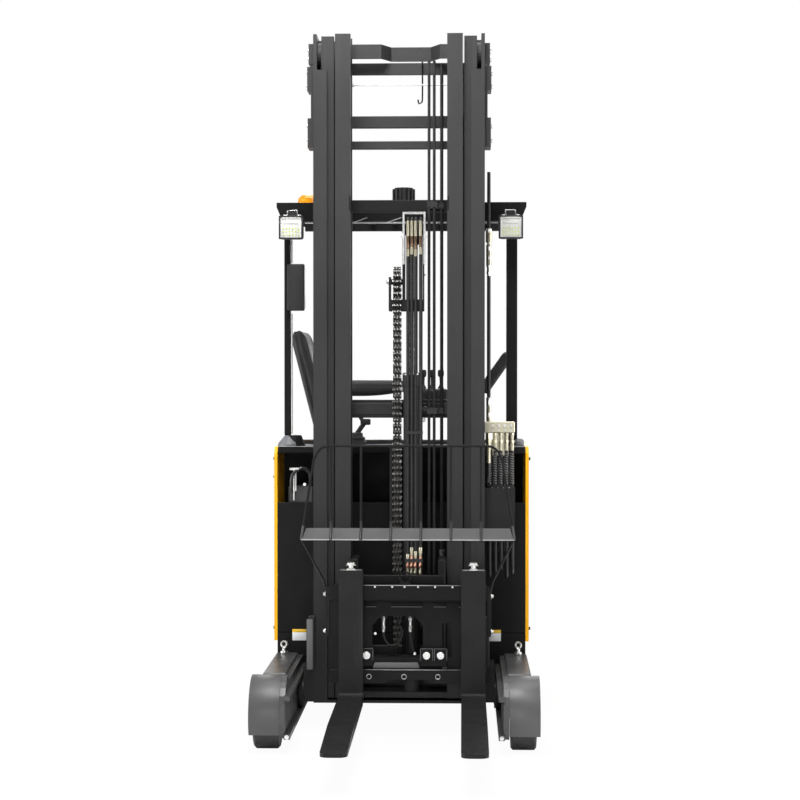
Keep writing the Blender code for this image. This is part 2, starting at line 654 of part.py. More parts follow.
def steering_and_display():
    """The steering wheel on the console, and the display pod on its stalk."""
    centre = (STEERING_X, STEERING_Y, STEERING_Z)
    profile = []
    for point in arc((WHEEL_RIM_RADIUS - WHEEL_RIM_THICKNESS / 2, 0.0), WHEEL_RIM_THICKNESS / 2, 0, 315, 7):
        profile.append(point)
    rim = turned("Z", centre, profile, 28)
    for angle in (90, 210, 330):
        spoke = box((0.010, WHEEL_RIM_RADIUS - 0.016), (-0.012, 0.012), (-0.006, 0.004))
        turn(spoke, angle, "Z", (0, 0, 0))
        spoke.data.transform(Matrix.Translation(centre))
        fuse(rim, spoke)
    fuse(rim, rod("Z", (centre[0], centre[1], centre[2] - 0.004), 0.034, 0.026, 20))
    knob_place = (centre[0] - 0.080, centre[1] - 0.085, centre[2] + 0.030)
    fuse(rim, rod("Z", knob_place, 0.016, 0.052, 14, 0.020))
    turn(rim, -STEERING_TILT, "Y", centre)
    keep(rim, "steering_wheel", "black_plastic", "steering_wheel")
    axis = Matrix.Rotation(math.radians(-STEERING_TILT), 3, "Y") @ Vector((0, 0, 1))
    top = Vector(centre) - axis * 0.0173
    foot = Vector(centre) - axis * 0.130
    column = tube([foot, top], 0.026, 3)
    support = box((foot.x - 0.045, foot.x + 0.045), (centre[1] - 0.040, STEERING_Y + 0.080 - GAP),
                  (foot.z - 0.045, foot.z + 0.030), 0.004)
    fuse(support, column)
    keep(support, "steering_column", "black_plastic")
    stalk_path = smooth_path([(0.300, BULKHEAD_Y - 0.04, BODY_TOP + GAP), (0.302, BULKHEAD_Y - 0.04, 1.280),
                              (0.330, BULKHEAD_Y - 0.03, 1.370), (0.385, BULKHEAD_Y, 1.470)], 0.04)
    stalk = tube(stalk_path, 0.014, 3)
    foot = rod("Z", (0.300, BULKHEAD_Y - 0.04, BODY_TOP + GAP + 0.006), 0.030, 0.012, 16)
    fuse(stalk, foot)
    pod = box((-0.024, 0.024), (BULKHEAD_Y - 0.075, BULKHEAD_Y + 0.075), (-0.105, 0.105), 0.012, 2)
    turn(pod, 35, "Y", (0, 0, 0))
    pod.data.transform(Matrix.Translation((0.421, 0.0, 1.510)))
    fuse(stalk, pod)
    keep(stalk, "display_pod", "black_plastic")


def overhead_guard():
    """The guard's four posts and its barred roof, with the lights and fittings on it."""
    roof_low = GUARD_TOP - GUARD_BEAM_HEIGHT
    beam_y = (GUARD_FRONT_Y - GUARD_BEAM_WALL / 2, GUARD_FRONT_Y + GUARD_BEAM_WALL / 2)
    slant = 0.026
    beam_outline = [(-GUARD_HALF + slant, roof_low), (GUARD_HALF - slant, roof_low), (GUARD_HALF, GUARD_TOP - 0.02),
                    (GUARD_HALF, GUARD_TOP), (-GUARD_HALF, GUARD_TOP), (-GUARD_HALF, GUARD_TOP - 0.02)]
    guard = prism("Y", beam_outline, *beam_y)
    roof_top = GUARD_TOP - 0.006
    rail_low = roof_top - GUARD_ROOF_DEPTH
    rail_x = GUARD_HALF - slant - GUARD_TUBE
    for side in SIDES.values():
        fuse(guard, box(mirrored((rail_x, rail_x + GUARD_TUBE), side), (GUARD_FRONT_Y, GUARD_REAR_Y),
                        (rail_low, roof_top), 0.004))
    fuse(guard, box((-rail_x - 0.004, rail_x + 0.004), (GUARD_REAR_Y - GUARD_TUBE, GUARD_REAR_Y - 0.001),
                    (rail_low - 0.022, roof_top - 0.001)))
    bars = 8
    for i in range(bars):
        x = -rail_x + (i + 1) * 2 * rail_x / (bars + 1)
        fuse(guard, box((x - ROOF_BAR_WIDTH / 2, x + ROOF_BAR_WIDTH / 2), (GUARD_FRONT_Y, GUARD_REAR_Y - 0.01),
                        (rail_low + 0.006, roof_top - 0.004)))
    deck = box((-GUARD_HALF + 0.036, GUARD_HALF * 0.22), (0.840, 0.960), (roof_top - 0.010, roof_top + 0.001))
    fuse(guard, deck)
    posts = (
        # x from, x to, y from, y to, foot
        (-GUARD_HALF + 0.028, -GUARD_HALF + 0.054, 0.440, 0.500, BOOT_TOP),
        (GUARD_HALF - 0.086, GUARD_HALF - 0.038, 0.440, 0.500, BODY_TOP),
        (-GUARD_HALF + 0.109, -GUARD_HALF + 0.145, 1.190, 1.230, MOTOR_COVER_TOP),
        (GUARD_HALF - 0.065, GUARD_HALF - 0.027, 1.188, 1.228, BODY_TOP),
    )
    for x0, x1, y0, y1, foot in posts:
        fuse(guard, box((x0, x1), (y0, y1), (foot + GAP, rail_low + 0.010), 0.003))
    keep(guard, "overhead_guard", "body_paint")
    for side_name, side in SIDES.items():
        work_light("work_light_" + side_name, side, beam_y[0])
    beacon_place = (-GUARD_HALF + 0.094, 0.900, roof_top + 0.001 + GAP)
    beacon = turned("Z", beacon_place, [(0.0, 0.0), (0.054, 0.0), (0.054, 0.018), (0.048, 0.024), (0.044, 0.070),
                                        (0.030, 0.084), (0.0, 0.088)], 24)
    keep(beacon, "beacon", "beacon_orange")
    finned_alarm((-0.005, 0.900), roof_top + 0.001 + GAP)
    box_x = (-GUARD_HALF + 0.043, -GUARD_HALF + 0.120)
    side_box = box(box_x, (0.440 - 0.042, 0.440 - GAP), (1.784, 1.990), 0.006, 2)
    keep(side_box, "side_box", "black_plastic")


def work_light(name, side, beam_front):
    """A square work light hung from the front beam by a bent bracket."""
    y = (beam_front - 0.020 - LIGHT_DEPTH, beam_front - 0.020)
    x = mirrored((LIGHT_X - LIGHT_WIDTH / 2, LIGHT_X + LIGHT_WIDTH / 2), side)
    light = box(x, y, (LIGHT_TOP - LIGHT_HEIGHT, LIGHT_TOP), 0.012, 2)
    middle = side * LIGHT_X
    foot = box((middle - 0.018, middle + 0.018), (beam_front - 0.030, beam_front - GAP), (LIGHT_TOP - 0.030, LIGHT_TOP + 0.026))
    fuse(light, foot)
    keep(light, name, "black_plastic")


def finned_alarm(place, low):
    """The round alarm with upright cooling fins."""
    radius = 0.053
    height = 0.118
    fins = 16
    outline = []
    for i in range(fins):
        start = 360 * i / fins
        width = 360 / fins
        outline += arc(place, radius, start, start + width * 0.45, 1)
        outline += arc(place, radius - 0.009, start + width * 0.5, start + width * 0.95, 1)
    alarm = prism("Z", outline, low + 0.012, low + height - 0.006)
    fuse(alarm, rod("Z", (*place, low + 0.008), radius - 0.004, 0.016, 20))
    fuse(alarm, rod("Z", (*place, low + height - 0.006), radius - 0.010, 0.012, 20))
    keep(alarm, "finned_alarm", "black_plastic")


def battery_connector():
    """The battery connector with its grip, on the battery's top behind the front wall."""
    y = CHASSIS_FRONT_Y + 0.050
    low = BATTERY_TOP + GAP
    x = -BATTERY_HALF
    plug = box((x, x + 0.110), (y - 0.030, y + 0.030), (low, low + 0.110), 0.006)
    grip = tube(smooth_path([(x + 0.022, y - 0.026, low + 0.080), (x + 0.018, y - 0.062, low + 0.105),
                             (x + 0.022, y - 0.072, low + 0.160), (x + 0.060, y - 0.062, low + 0.190),
                             (x + 0.095, y - 0.040, low + 0.170), (x + 0.100, y - 0.016, low + 0.100)], 0.03), 0.008)
    fuse(plug, grip)
    keep(plug, "battery_connector", "shelf_paint")


INNER_Y = (MAST_FRONT_Y, MAST_FRONT_Y + INNER_DEPTH)
MIDDLE_Y = (MAST_FRONT_Y + MIDDLE_SETBACK, MAST_FRONT_Y + MIDDLE_SETBACK + MIDDLE_DEPTH)
OUTER_Y = (MAST_FRONT_Y + OUTER_SETBACK, MAST_FRONT_Y + OUTER_SETBACK + OUTER_DEPTH)
OUTER_LOW = MAST_BOTTOM
MIDDLE_LOW = MAST_BOTTOM + 0.012 + STAGE_STEP
INNER_LOW = MIDDLE_LOW + STAGE_STEP


def channel(side, span, depth, low, high):
    """An upright channel that opens towards the truck's middle."""
    inside, outside = span
    front, back = depth
    outline = [(inside, front), (outside, front), (outside, back), (inside, back), (inside, back - FLANGE),
               (outside - WEB, back - FLANGE), (outside - WEB, front + FLANGE), (inside, front + FLANGE)]
    return prism("Z", [(x * side, y) for x, y in outline], low, high)


def beam_section(side, span, depth, low, high):
    """An upright I-section."""
    inside, outside = span
    front, back = depth
    web = ((inside + outside) / 2 - 0.006 + 0.004, (inside + outside) / 2 + 0.006 + 0.004)
    outline = [(inside, front), (outside, front), (outside, front + FLANGE), (web[1], front + FLANGE),
               (web[1], back - FLANGE), (outside, back - FLANGE), (outside, back), (inside, back),
               (inside, back - FLANGE), (web[0], back - FLANGE), (web[0], front + FLANGE), (inside, front + FLANGE)]
    return prism("Z", [(x * side, y) for x, y in outline], low, high)


def mast_outer():
    """The outer stage, with its foot plate, cross members and the rollers that run in the arms."""
    rails = []
    for side in SIDES.values():
        rail = channel(side, OUTER_X, OUTER_Y, OUTER_LOW, MAST_TOP)
        notch = box(mirrored((OUTER_X[0] - 0.01, OUTER_X[1] - WEB), side),
                    (OUTER_Y[0] - 0.01, OUTER_Y[0] + FLANGE + 0.001), (MAST_TOP - NOTCH_HEIGHT, MAST_TOP + 0.01))
        cut(rail, notch)
        roller_radius = (MIDDLE_DEPTH - 2 * FLANGE) / 2 - ROLLER_GAP
        roller_x = side * (OUTER_X[1] - WEB - 0.010 + 0.001)
        fuse(rail, rod("X", (roller_x, sum(MIDDLE_Y) / 2, MAST_TOP - 0.075), roller_radius, 0.020, 20))
        side_plates(rail, side)
        reach_rollers(rail, side)
        rails.append(rail)
    mast = rails[0]
    fuse(mast, rails[1])
    foot = box((-OUTER_X[1], OUTER_X[1]), (OUTER_Y[0], OUTER_Y[1] + 0.010), (OUTER_LOW, OUTER_LOW + 0.012))
    fuse(mast, foot)
    back = (OUTER_Y[1] - FLANGE + 0.001, OUTER_Y[1] + 0.014)
    members = (
        # bottom, top
        (MAST_TOP - 0.376, MAST_TOP - 0.325),
        (MAST_TOP - 0.467, MAST_TOP - 0.433),
        (1.315, 1.393),
        (0.150, 0.330),
    )
    for low, high in members:
        fuse(mast, box((-OUTER_X[1] + 0.004, OUTER_X[1] - 0.004), back, (low, high), 0.002))
    for side in SIDES.values():
        clamp = box(mirrored((LIFT_ROD_X - 0.045, LIFT_ROD_X + 0.045), side),
                    (back[1] - 0.002, LIFT_ROD_Y - LIFT_BARREL_RADIUS + 0.006), (0.170, 0.250))
        fuse(mast, clamp)
        barrel = lift_barrel(side)
        fuse(mast, barrel)
        fuse(mast, box(mirrored((LIFT_ROD_X - 0.030, LIFT_ROD_X + 0.030), side),
                       (back[1] - 0.002, LIFT_ROD_Y - LIFT_ROD_RADIUS - 0.010),
                       (LIFT_BARREL_TOP - 0.070, LIFT_BARREL_TOP - 0.050)))
    keep(mast, "mast_outer", "mast_paint", "mast_outer")


def lift_barrel(side):
    """A lift cylinder's barrel, open at the top where its rod comes out."""
    low = 0.140
    bore = LIFT_ROD_RADIUS + 0.003
    gland = LIFT_BARREL_RADIUS + 0.005
    profile = [(0.0, low), (LIFT_BARREL_RADIUS, low), (LIFT_BARREL_RADIUS, LIFT_BARREL_TOP - 0.060),
               (gland, LIFT_BARREL_TOP - 0.058), (gland, LIFT_BARREL_TOP), (bore, LIFT_BARREL_TOP),
               (bore, low + 0.030), (0.0, low + 0.030)]
    return turned("Z", (side * LIFT_ROD_X, LIFT_ROD_Y, 0.0), profile, 16)


def side_plates(rail, side):
    """The stepped bearing plates at the outer rail's top."""
    plates = (
        # depth below the top: upper end, lower end, and how far they stand out
        (0.036, 0.121, 0.022),
        (0.133, 0.235, 0.028),
        (0.235, 0.351, 0.012),
        (0.351, 0.476, 0.026),
    )
    for high, low, stand in plates:
        fuse(rail, box(mirrored((OUTER_X[1] - 0.003, OUTER_X[1] + stand), side),
                       (OUTER_Y[0] + 0.030, OUTER_Y[1] - 0.030), (MAST_TOP - low, MAST_TOP - high)))


def reach_rollers(rail, side):
    """The bracket and the two rollers that carry the mast in an arm's rail."""
    radius = (RAIL_TOP - RAIL_BOTTOM - 2 * RAIL_FLANGE) / 2 - ROLLER_GAP
    height = (RAIL_TOP + RAIL_BOTTOM) / 2
    plate_x = mirrored((OUTER_X[1] - 0.003, RAIL_INNER_X - RUN), side)
    fuse(rail, box(plate_x, (OUTER_Y[0] + 0.004, OUTER_Y[1] + 0.050), (OUTER_LOW + 0.004, 0.262)))
    roller_x = mirrored((RAIL_INNER_X - RUN - 0.002, RAIL_INNER_X + RAIL_FLANGE - RUN), side)
    for y in (OUTER_Y[0] + 0.056, OUTER_Y[1] - 0.014):
        fuse(rail, rod("X", (sum(roller_x) / 2, y, height), radius, roller_x[1] - roller_x[0], 24))
    strip_x = mirrored((OUTER_X[1] - 0.008, OUTER_X[1] + 0.020), side)
    fuse(rail, box(strip_x, (OUTER_Y[0] - 0.012, OUTER_Y[0] + 0.008), (0.255, 0.479), 0.003))


def mast_middle():
    """The middle stage, lifted by the two rods."""
    rails = [beam_section(side, MIDDLE_X, MIDDLE_Y, MIDDLE_LOW, MAST_TOP - 0.006) for side in SIDES.values()]
    mast = rails[0]
    back = (MIDDLE_Y[1] - FLANGE + 0.0005, MIDDLE_Y[1] - 0.0002)
    fuse(mast, box((-MIDDLE_X[0] - 0.02, MIDDLE_X[0] + 0.02), back, (MAST_TOP - 0.152, MAST_TOP - 0.101), 0.002),
         rails[1])
    fuse(mast, box((-MIDDLE_X[0] - 0.02, MIDDLE_X[0] + 0.02), back, (MIDDLE_LOW + 0.03, MIDDLE_LOW + 0.16), 0.002))
    fuse(mast, box((-MIDDLE_X[0] - 0.02, MIDDLE_X[0] + 0.02), back, (MAST_TOP - 0.741, MAST_TOP - 0.691), 0.002))
    rod_low, rod_high = 0.200, MAST_TOP - 0.131
    for side in SIDES.values():
        radius = (OUTER_DEPTH - 2 * FLANGE) / 2 - ROLLER_GAP
        roller_x = side * (OUTER_X[1] - WEB - 0.004 - 0.012)
        fuse(mast, rod("X", (roller_x, sum(OUTER_Y) / 2, MIDDLE_LOW + 0.09), radius, 0.024, 24))
        bracket = box(mirrored((LIFT_ROD_X - 0.020, LIFT_ROD_X + 0.020), side),
                      (back[0] + 0.003, LIFT_ROD_Y + LIFT_ROD_RADIUS + 0.006), (rod_high - 0.010, rod_high + 0.022), 0.003)
        fuse(mast, bracket)
        fuse(mast, rod("Z", (side * LIFT_ROD_X, LIFT_ROD_Y, (rod_low + rod_high) / 2), LIFT_ROD_RADIUS,
                       rod_high - rod_low, 16))
    keep(mast, "mast_middle", "mast_paint", "mast_middle")


def bent_beam(low, high):
    """The inner stage's top member, which bends back to let the crosshead pass."""
    front = INNER_Y[0] + 0.070
    rear = INNER_Y[1] + 0.012
    thick = 0.014
    centre = FREE_LIFT_X
    reach = INNER_X[1] - WEB + 0.004
    line = [(-reach, front), (centre - 0.130, front), (centre - 0.090, rear),
            (centre + 0.080, rear), (centre + 0.120, front), (reach, front)]
    outline = line + [(x, y + thick) for x, y in reversed(line)]
    return prism("Z", outline, low, high)


def mast_inner():
    """The inner stage, with the base of the free-lift cylinder."""
    rails = [channel(side, INNER_X, INNER_Y, INNER_LOW, MAST_TOP) for side in SIDES.values()]
    mast = rails[0]
    fuse(mast, bent_beam(MAST_TOP - 0.094, MAST_TOP - 0.034), rails[1])
    back = (INNER_Y[1] - FLANGE + 0.0005, INNER_Y[1] - 0.001)
    for low, high in ((0.170, 0.290), (1.330, 1.380), (2.200, 2.250)):
        fuse(mast, box((-INNER_X[0] - 0.02, INNER_X[0] + 0.02), back, (low, high), 0.002))
    tie = box((-INNER_X[0] - 0.02, INNER_X[0] + 0.02), (INNER_Y[0] + 0.004, INNER_Y[1] - 0.004),
              (INNER_LOW + 0.001, INNER_LOW + 0.025))
    fuse(mast, tie)
    fuse(mast, box((FREE_LIFT_X - 0.020, FREE_LIFT_X + 0.020),
                   (FREE_LIFT_Y + FREE_BARREL_RADIUS + GAP, back[0] + 0.002), (0.230, 0.250)))
    stay_x = FREE_LIFT_X + FREE_BARREL_RADIUS + GAP
    fuse(mast, box((stay_x + 0.015, stay_x + 0.029), (FREE_LIFT_Y - 0.010, back[0] + 0.002), (1.345, 1.365)))
    fuse(mast, box((stay_x, stay_x + 0.020), (FREE_LIFT_Y - 0.010, FREE_LIFT_Y + 0.010), (1.3455, 1.3645)))
    for side in SIDES.values():
        roller_radius = (MIDDLE_DEPTH - 2 * FLANGE) / 2 - ROLLER_GAP
        fuse(mast, rod("X", (side * (INNER_X[1] + 0.011), sum(MIDDLE_Y) / 2, INNER_LOW + 0.09), roller_radius,
                       0.026, 20))
    keep(mast, "mast_inner", "mast_paint", "mast_inner")
    barrel_low = INNER_LOW + 0.025 + GAP
    bore = FREE_ROD_RADIUS + 0.0006
    gland = FREE_BARREL_RADIUS + 0.004
    profile = [(0.0, barrel_low), (FREE_BARREL_RADIUS, barrel_low), (FREE_BARREL_RADIUS, FREE_BARREL_TOP - 0.050),
               (gland, FREE_BARREL_TOP - 0.048), (gland, FREE_BARREL_TOP), (bore, FREE_BARREL_TOP),
               (bore, barrel_low + 0.030), (0.0, barrel_low + 0.030)]
    barrel = turned("Z", (FREE_LIFT_X, FREE_LIFT_Y, 0.0), profile, 20)
    keep(barrel, "free_lift_barrel", "mast_paint", "mast_inner")
    hoses = mast_hoses()
    keep(hoses, "mast_hoses", "hose_rubber", "mast_inner")


def mast_hoses():
    """The upright hoses inside the inner stage, in their clamps."""
    low = 0.250
    high = MAST_TOP - 0.111
    clamp_back = INNER_Y[1] - FLANGE + 0.0005 - GAP
    rows = (
        # x, y, radius
        (0.127, 0.096, HOSE_RADIUS),
        (0.149, 0.096, HOSE_RADIUS),
        (0.180, 0.165, HOSE_RADIUS + 0.001),
    )
    hoses = None
    for x, y, radius in rows:
        hose = rod("Z", (x, y, (low + high) / 2), radius, high - low, 10)
        hoses = hose if hoses is None else fuse(hoses, hose)
    for z in (0.262, 1.335, 2.212):
        fuse(hoses, box((0.1185, 0.1605), (0.086, clamp_back), (z, z + 0.024)))
        fuse(hoses, box((0.155, 0.1885), (0.157, clamp_back), (z, z + 0.024)))
    return hoses


def crosshead():
    """The rod of the free-lift cylinder with its pulleys, and the plated guard over the hoses."""
    base = PULLEY_Z - CHAIN_RADIUS - 0.020
    head = rod("Z", (FREE_LIFT_X, FREE_LIFT_Y, (0.300 + base) / 2), FREE_ROD_RADIUS, base - 0.300, 16)
    block_x = (CHAIN_X - CHAIN_WIDTH / 2 - 0.018, GUARD_PLATE_X[1] - 0.006)
    fuse(head, box(block_x, (FREE_LIFT_Y - 0.026, FREE_LIFT_Y + 0.026), (base - 0.050, base), 0.003))
    middle_x = (CHAIN_X + CHAIN_WIDTH / 2 + 0.004, CHAIN_X + CHAIN_WIDTH / 2 + 0.016)
    cheeks = (
        # x from, x to, top
        (block_x[0], block_x[0] + 0.010, PULLEY_Z + 0.020),
        (*middle_x, HOSE_PULLEY_Z + 0.020),
        (block_x[1] - 0.006, block_x[1], HOSE_PULLEY_Z + 0.020),
    )
    for x0, x1, top in cheeks:
        fuse(head, box((x0, x1), (FREE_LIFT_Y - 0.020, FREE_LIFT_Y + 0.020), (base - 0.020, top)))
    chord_dip = CHAIN_RADIUS * (1 - math.cos(CHAIN_PITCH / CHAIN_RADIUS / 2))
    pulley = CHAIN_RADIUS - CHAIN_THICKNESS / 2 - chord_dip - GAP
    hose_dip = HOSE_LOOP_RADIUS * (1 - math.cos(math.radians(10)))
    hose_pulley = HOSE_LOOP_RADIUS - HOSE_RADIUS - hose_dip + 0.0005
    rollers = (
        # x from, x to, height, pulley's radius, pulley's half width
        (block_x[0] + 0.002, middle_x[1] - 0.002, PULLEY_Z, pulley, CHAIN_WIDTH / 2 - 0.002, CHAIN_X),
        (middle_x[0] + 0.002, block_x[1] - 0.002, HOSE_PULLEY_Z, hose_pulley, 0.034, sum(HOSE_XS[::3]) / 2),
    )
    for x0, x1, z, radius, half, centre in rollers:
        fuse(head, rod("X", ((x0 + x1) / 2, FREE_LIFT_Y, z), 0.012, x1 - x0, 12))
        fuse(head, rod("X", (centre, FREE_LIFT_Y, z), radius, 2 * half, 20))
    keep(head, "crosshead", "mast_paint", "crosshead")
    guard_y = (FREE_LIFT_Y - HOSE_LOOP_RADIUS - 0.020, FREE_LIFT_Y - HOSE_LOOP_RADIUS + 0.024)
    wall = 0.004
    guard = box(GUARD_PLATE_X, guard_y, (GUARD_PLATE_BOTTOM, GUARD_PLATE_TOP))
    inside = box((GUARD_PLATE_X[0] + wall, GUARD_PLATE_X[1] - wall), (guard_y[0] + 0.002, guard_y[1] + 0.01),
                 (GUARD_PLATE_BOTTOM - 0.01, GUARD_PLATE_TOP - wall))
    cut(guard, inside)
    window = box((GUARD_PLATE_X[0] + 0.008, GUARD_PLATE_X[1] - 0.008), (guard_y[0] - 0.01, guard_y[1] - 0.01),
                 (GUARD_PLATE_BOTTOM - 0.01, GUARD_PLATE_TOP - 0.010))
    cut(guard, window)
    leg_x = (block_x[1] + GAP, GUARD_PLATE_X[1])
    fuse(guard, box(leg_x, (guard_y[1] - 0.006, FREE_LIFT_Y + 0.012), (GUARD_PLATE_BOTTOM + 0.020, GUARD_PLATE_TOP - 0.060)))
    keep(guard, "hose_guard", "plated", "crosshead")


def chain_path():
    """Points at each pitch along the lift chain, with the direction that its width's face looks."""
    front_y = FREE_LIFT_Y - CHAIN_RADIUS
    rear_y = FREE_LIFT_Y + CHAIN_RADIUS
    front = PULLEY_Z - CHAIN_FRONT_END
    rear = PULLEY_Z - CHAIN_REAR_END
    half_turn = math.pi * CHAIN_RADIUS
    count = int((front + rear + half_turn) / CHAIN_PITCH)
    places = []
    for i in range(count + 1):
        run = i * CHAIN_PITCH
        if run <= front:
            places.append(((front_y, CHAIN_FRONT_END + run), (-1.0, 0.0)))
        elif run <= front + half_turn:
            angle = math.pi - (run - front) / CHAIN_RADIUS
            outward = (math.cos(angle), math.sin(angle))
            places.append(((FREE_LIFT_Y + CHAIN_RADIUS * outward[0], PULLEY_Z + CHAIN_RADIUS * outward[1]), outward))
        else:
            places.append(((rear_y, PULLEY_Z - (run - front - half_turn)), (1.0, 0.0)))
    return places


def lift_chain():
    """The leaf chain over the crosshead's pulley, its links by turns wide and narrow."""
    places = chain_path()
    rings = []
    for i, ((y, z), (out_y, out_z)) in enumerate(places[:-1]):
        (next_y, next_z), (next_out_y, next_out_z) = places[i + 1]
        half = CHAIN_WIDTH / 2 if i % 2 == 0 else CHAIN_WIDTH / 2 - 0.006
        thick = CHAIN_THICKNESS / 2 if i % 2 == 0 else CHAIN_THICKNESS / 2 - 0.003
        for part in (0.06, 0.94):
            here_y = y + (next_y - y) * part
            here_z = z + (next_z - z) * part
            oy = out_y + (next_out_y - out_y) * part
            oz = out_z + (next_out_z - out_z) * part
            ring = []
            for across, depth in ((-half, -thick), (half, -thick), (half, thick), (-half, thick)):
                ring.append((CHAIN_X + across, here_y + oy * depth, here_z + oz * depth))
            rings.append(ring)
    keep(loft(rings), "lift_chain", "mast_paint", "crosshead")


def carriage_hoses():
    """The four hoses over the crosshead's hose pulley, with their fittings in one clamp block."""
    hoses = None
    front_y = FREE_LIFT_Y - HOSE_LOOP_RADIUS
    rear_y = FREE_LIFT_Y + HOSE_LOOP_RADIUS
    for x in HOSE_XS:
        path = [(x, front_y, HOSE_FRONT_END)]
        path.append((x, front_y, HOSE_PULLEY_Z))
        for y, z in arc((FREE_LIFT_Y, HOSE_PULLEY_Z), HOSE_LOOP_RADIUS, 160, 0, 8):
            path.append((x, y, z))
        path.append((x, rear_y, 0.420))
        hose = tube(path, HOSE_RADIUS, 1)
        hoses = hose if hoses is None else fuse(hoses, hose)
    for z in (HOSE_FRONT_END + 0.020, 1.250):
        hoses = fuse(hoses, box((HOSE_XS[0] - 0.010, HOSE_XS[-1] + 0.010), (front_y - 0.009, front_y + 0.009), (z, z + 0.014)))
    keep(hoses, "carriage_hoses", "hose_rubber", "crosshead")


def lift_carriage():
    """The carriage that climbs the inner stage on rollers."""
    plate_x = (INNER_X[0] - 0.036, INNER_X[0] - RUN)
    low, high = 0.310, 0.730
    roller_radius = (INNER_DEPTH - 2 * FLANGE) / 2 - ROLLER_GAP
    pieces = []
    for side in SIDES.values():
        plate = box(mirrored(plate_x, side), (-0.050, 0.150), (low, high), 0.004)
        for z in (low + roller_radius + 0.004, high - roller_radius - 0.014):
            roller_x = mirrored((plate_x[1] - 0.004, INNER_X[1] - WEB - 0.004), side)
            fuse(plate, rod("X", (sum(roller_x) / 2, sum(INNER_Y) / 2, z), roller_radius, roller_x[1] - roller_x[0], 20))
        pieces.append(plate)
    carriage = pieces[0]
    front = (-0.052, -0.026)
    top_bar = box((-plate_x[1] + 0.002, plate_x[1] - 0.002), front, (0.560, 0.664), 0.003)
    fuse(carriage, top_bar, pieces[1])
    low_bar = box((-plate_x[1] + 0.002, plate_x[1] - 0.002), front, (0.236, 0.330), 0.003)
    fuse(carriage, low_bar)
    for side in SIDES.values():
        fuse(carriage, box(mirrored((0.105, plate_x[1] - 0.004), side), (front[0] + 0.002, front[1] - 0.002), (0.320, 0.570)))
    for side in SIDES.values():
        ear = box(mirrored((0.120, 0.140), side), (TILT_Y - 0.013, front[0] + 0.004), (TILT_Z - 0.016, TILT_Z + 0.026))
        fuse(carriage, ear)
    cut(carriage, rod("X", (0.0, TILT_Y, TILT_Z), 0.0105, 0.400, 16))
    keep(carriage, "lift_carriage", "mast_paint", "lift_carriage")


TILT_PLATE_Y = (FORK_FACE_Y + FORK_THICKNESS + CARRIAGE_BAR + 0.006, FORK_FACE_Y + FORK_THICKNESS + CARRIAGE_BAR + 0.024)


def tilt_frame():
    """The frame that tilts on the lift carriage and guides the fork carriage sideways."""
    half = 0.262
    y = TILT_PLATE_Y
    frame = box((-half, half), y, (0.262, 0.560), 0.003)
    opening = prism("Y", [(-0.105, 0.330), (0.105, 0.330), (0.105, 0.460), (0.070, 0.500), (-0.070, 0.500),
                          (-0.105, 0.460)], y[0] - 0.01, y[1] + 0.01)
    cut(frame, opening)
    for side in SIDES.values():
        pocket = box(mirrored((0.185, 0.225), side), (y[0] - 0.01, y[1] + 0.01), (0.330, 0.470))
        cut(frame, pocket)
    for x in (-0.170, 0.170):
        ear = box((x - 0.018, x + 0.018), (y[1] - 0.004, TILT_Y + 0.012), (0.520, TILT_Z + 0.014), 0.003)
        fuse(frame, ear)
    fuse(frame, rod("X", (0.0, TILT_Y, TILT_Z), 0.010, 0.366, 14))
    roller_y = (y[0] - 0.024, y[0] + 0.002)
    blocks = (
        # x from, x to, and the discs' places
        (-0.204, -0.100, (-0.183, -0.127)),
        (0.095, 0.205, (0.121, 0.179)),
    )
    for x0, x1, discs in blocks:
        block = box((x0, x1), roller_y, (0.292, 0.370), 0.004)
        fuse(frame, block)
        for x in discs:
            fuse(frame, rod("Y", (x, roller_y[0] - 0.002, 0.340), 0.015, 0.010, 14))
    keep(frame, "tilt_frame", "mast_paint", "tilt_frame")


CARRIAGE_Y = (FORK_FACE_Y + FORK_THICKNESS + GAP, FORK_FACE_Y + FORK_THICKNESS + CARRIAGE_BAR)
CARRIAGE_TOP = CARRIAGE_BOTTOM + CARRIAGE_HEIGHT


def fork_carriage():
    """The fork carriage's two bars, end plates and the guides behind them."""
    ends = (SIDESHIFT - CARRIAGE_HALF, SIDESHIFT + CARRIAGE_HALF)
    y = CARRIAGE_Y
    carriage = box(ends, y, (CARRIAGE_TOP - UPPER_BAR_HEIGHT, CARRIAGE_TOP), 0.003)
    lower = box(ends, y, (CARRIAGE_BOTTOM, CARRIAGE_BOTTOM + LOWER_BAR_HEIGHT), 0.003)
    notch = prism("Y", [(SIDESHIFT - 0.100, CARRIAGE_BOTTOM - 0.01), (SIDESHIFT + 0.100, CARRIAGE_BOTTOM - 0.01),
                        (SIDESHIFT + 0.080, CARRIAGE_BOTTOM + 0.016), (SIDESHIFT - 0.080, CARRIAGE_BOTTOM + 0.016)],
                  y[0] - 0.01, y[1] + 0.01)
    cut(lower, notch)
    for side in (LEFT, RIGHT):
        post_x = sorted((SIDESHIFT + side * (CARRIAGE_HALF - 0.012), SIDESHIFT + side * (CARRIAGE_HALF - 0.038)))
        fuse(carriage, box(post_x, (y[0] + 0.002, y[1] - 0.002), (CARRIAGE_BOTTOM + 0.02, CARRIAGE_TOP - 0.02)))
    fuse(carriage, lower)
    guide_y = (y[1] - 0.002, TILT_PLATE_Y[1] - 0.010)
    guide = box((ends[0] + 0.05, ends[1] - 0.05), guide_y, (0.560 + GAP, CARRIAGE_TOP - 0.040))
    fuse(carriage, guide)
    keep(carriage, "fork_carriage", "mast_paint", "fork_carriage")


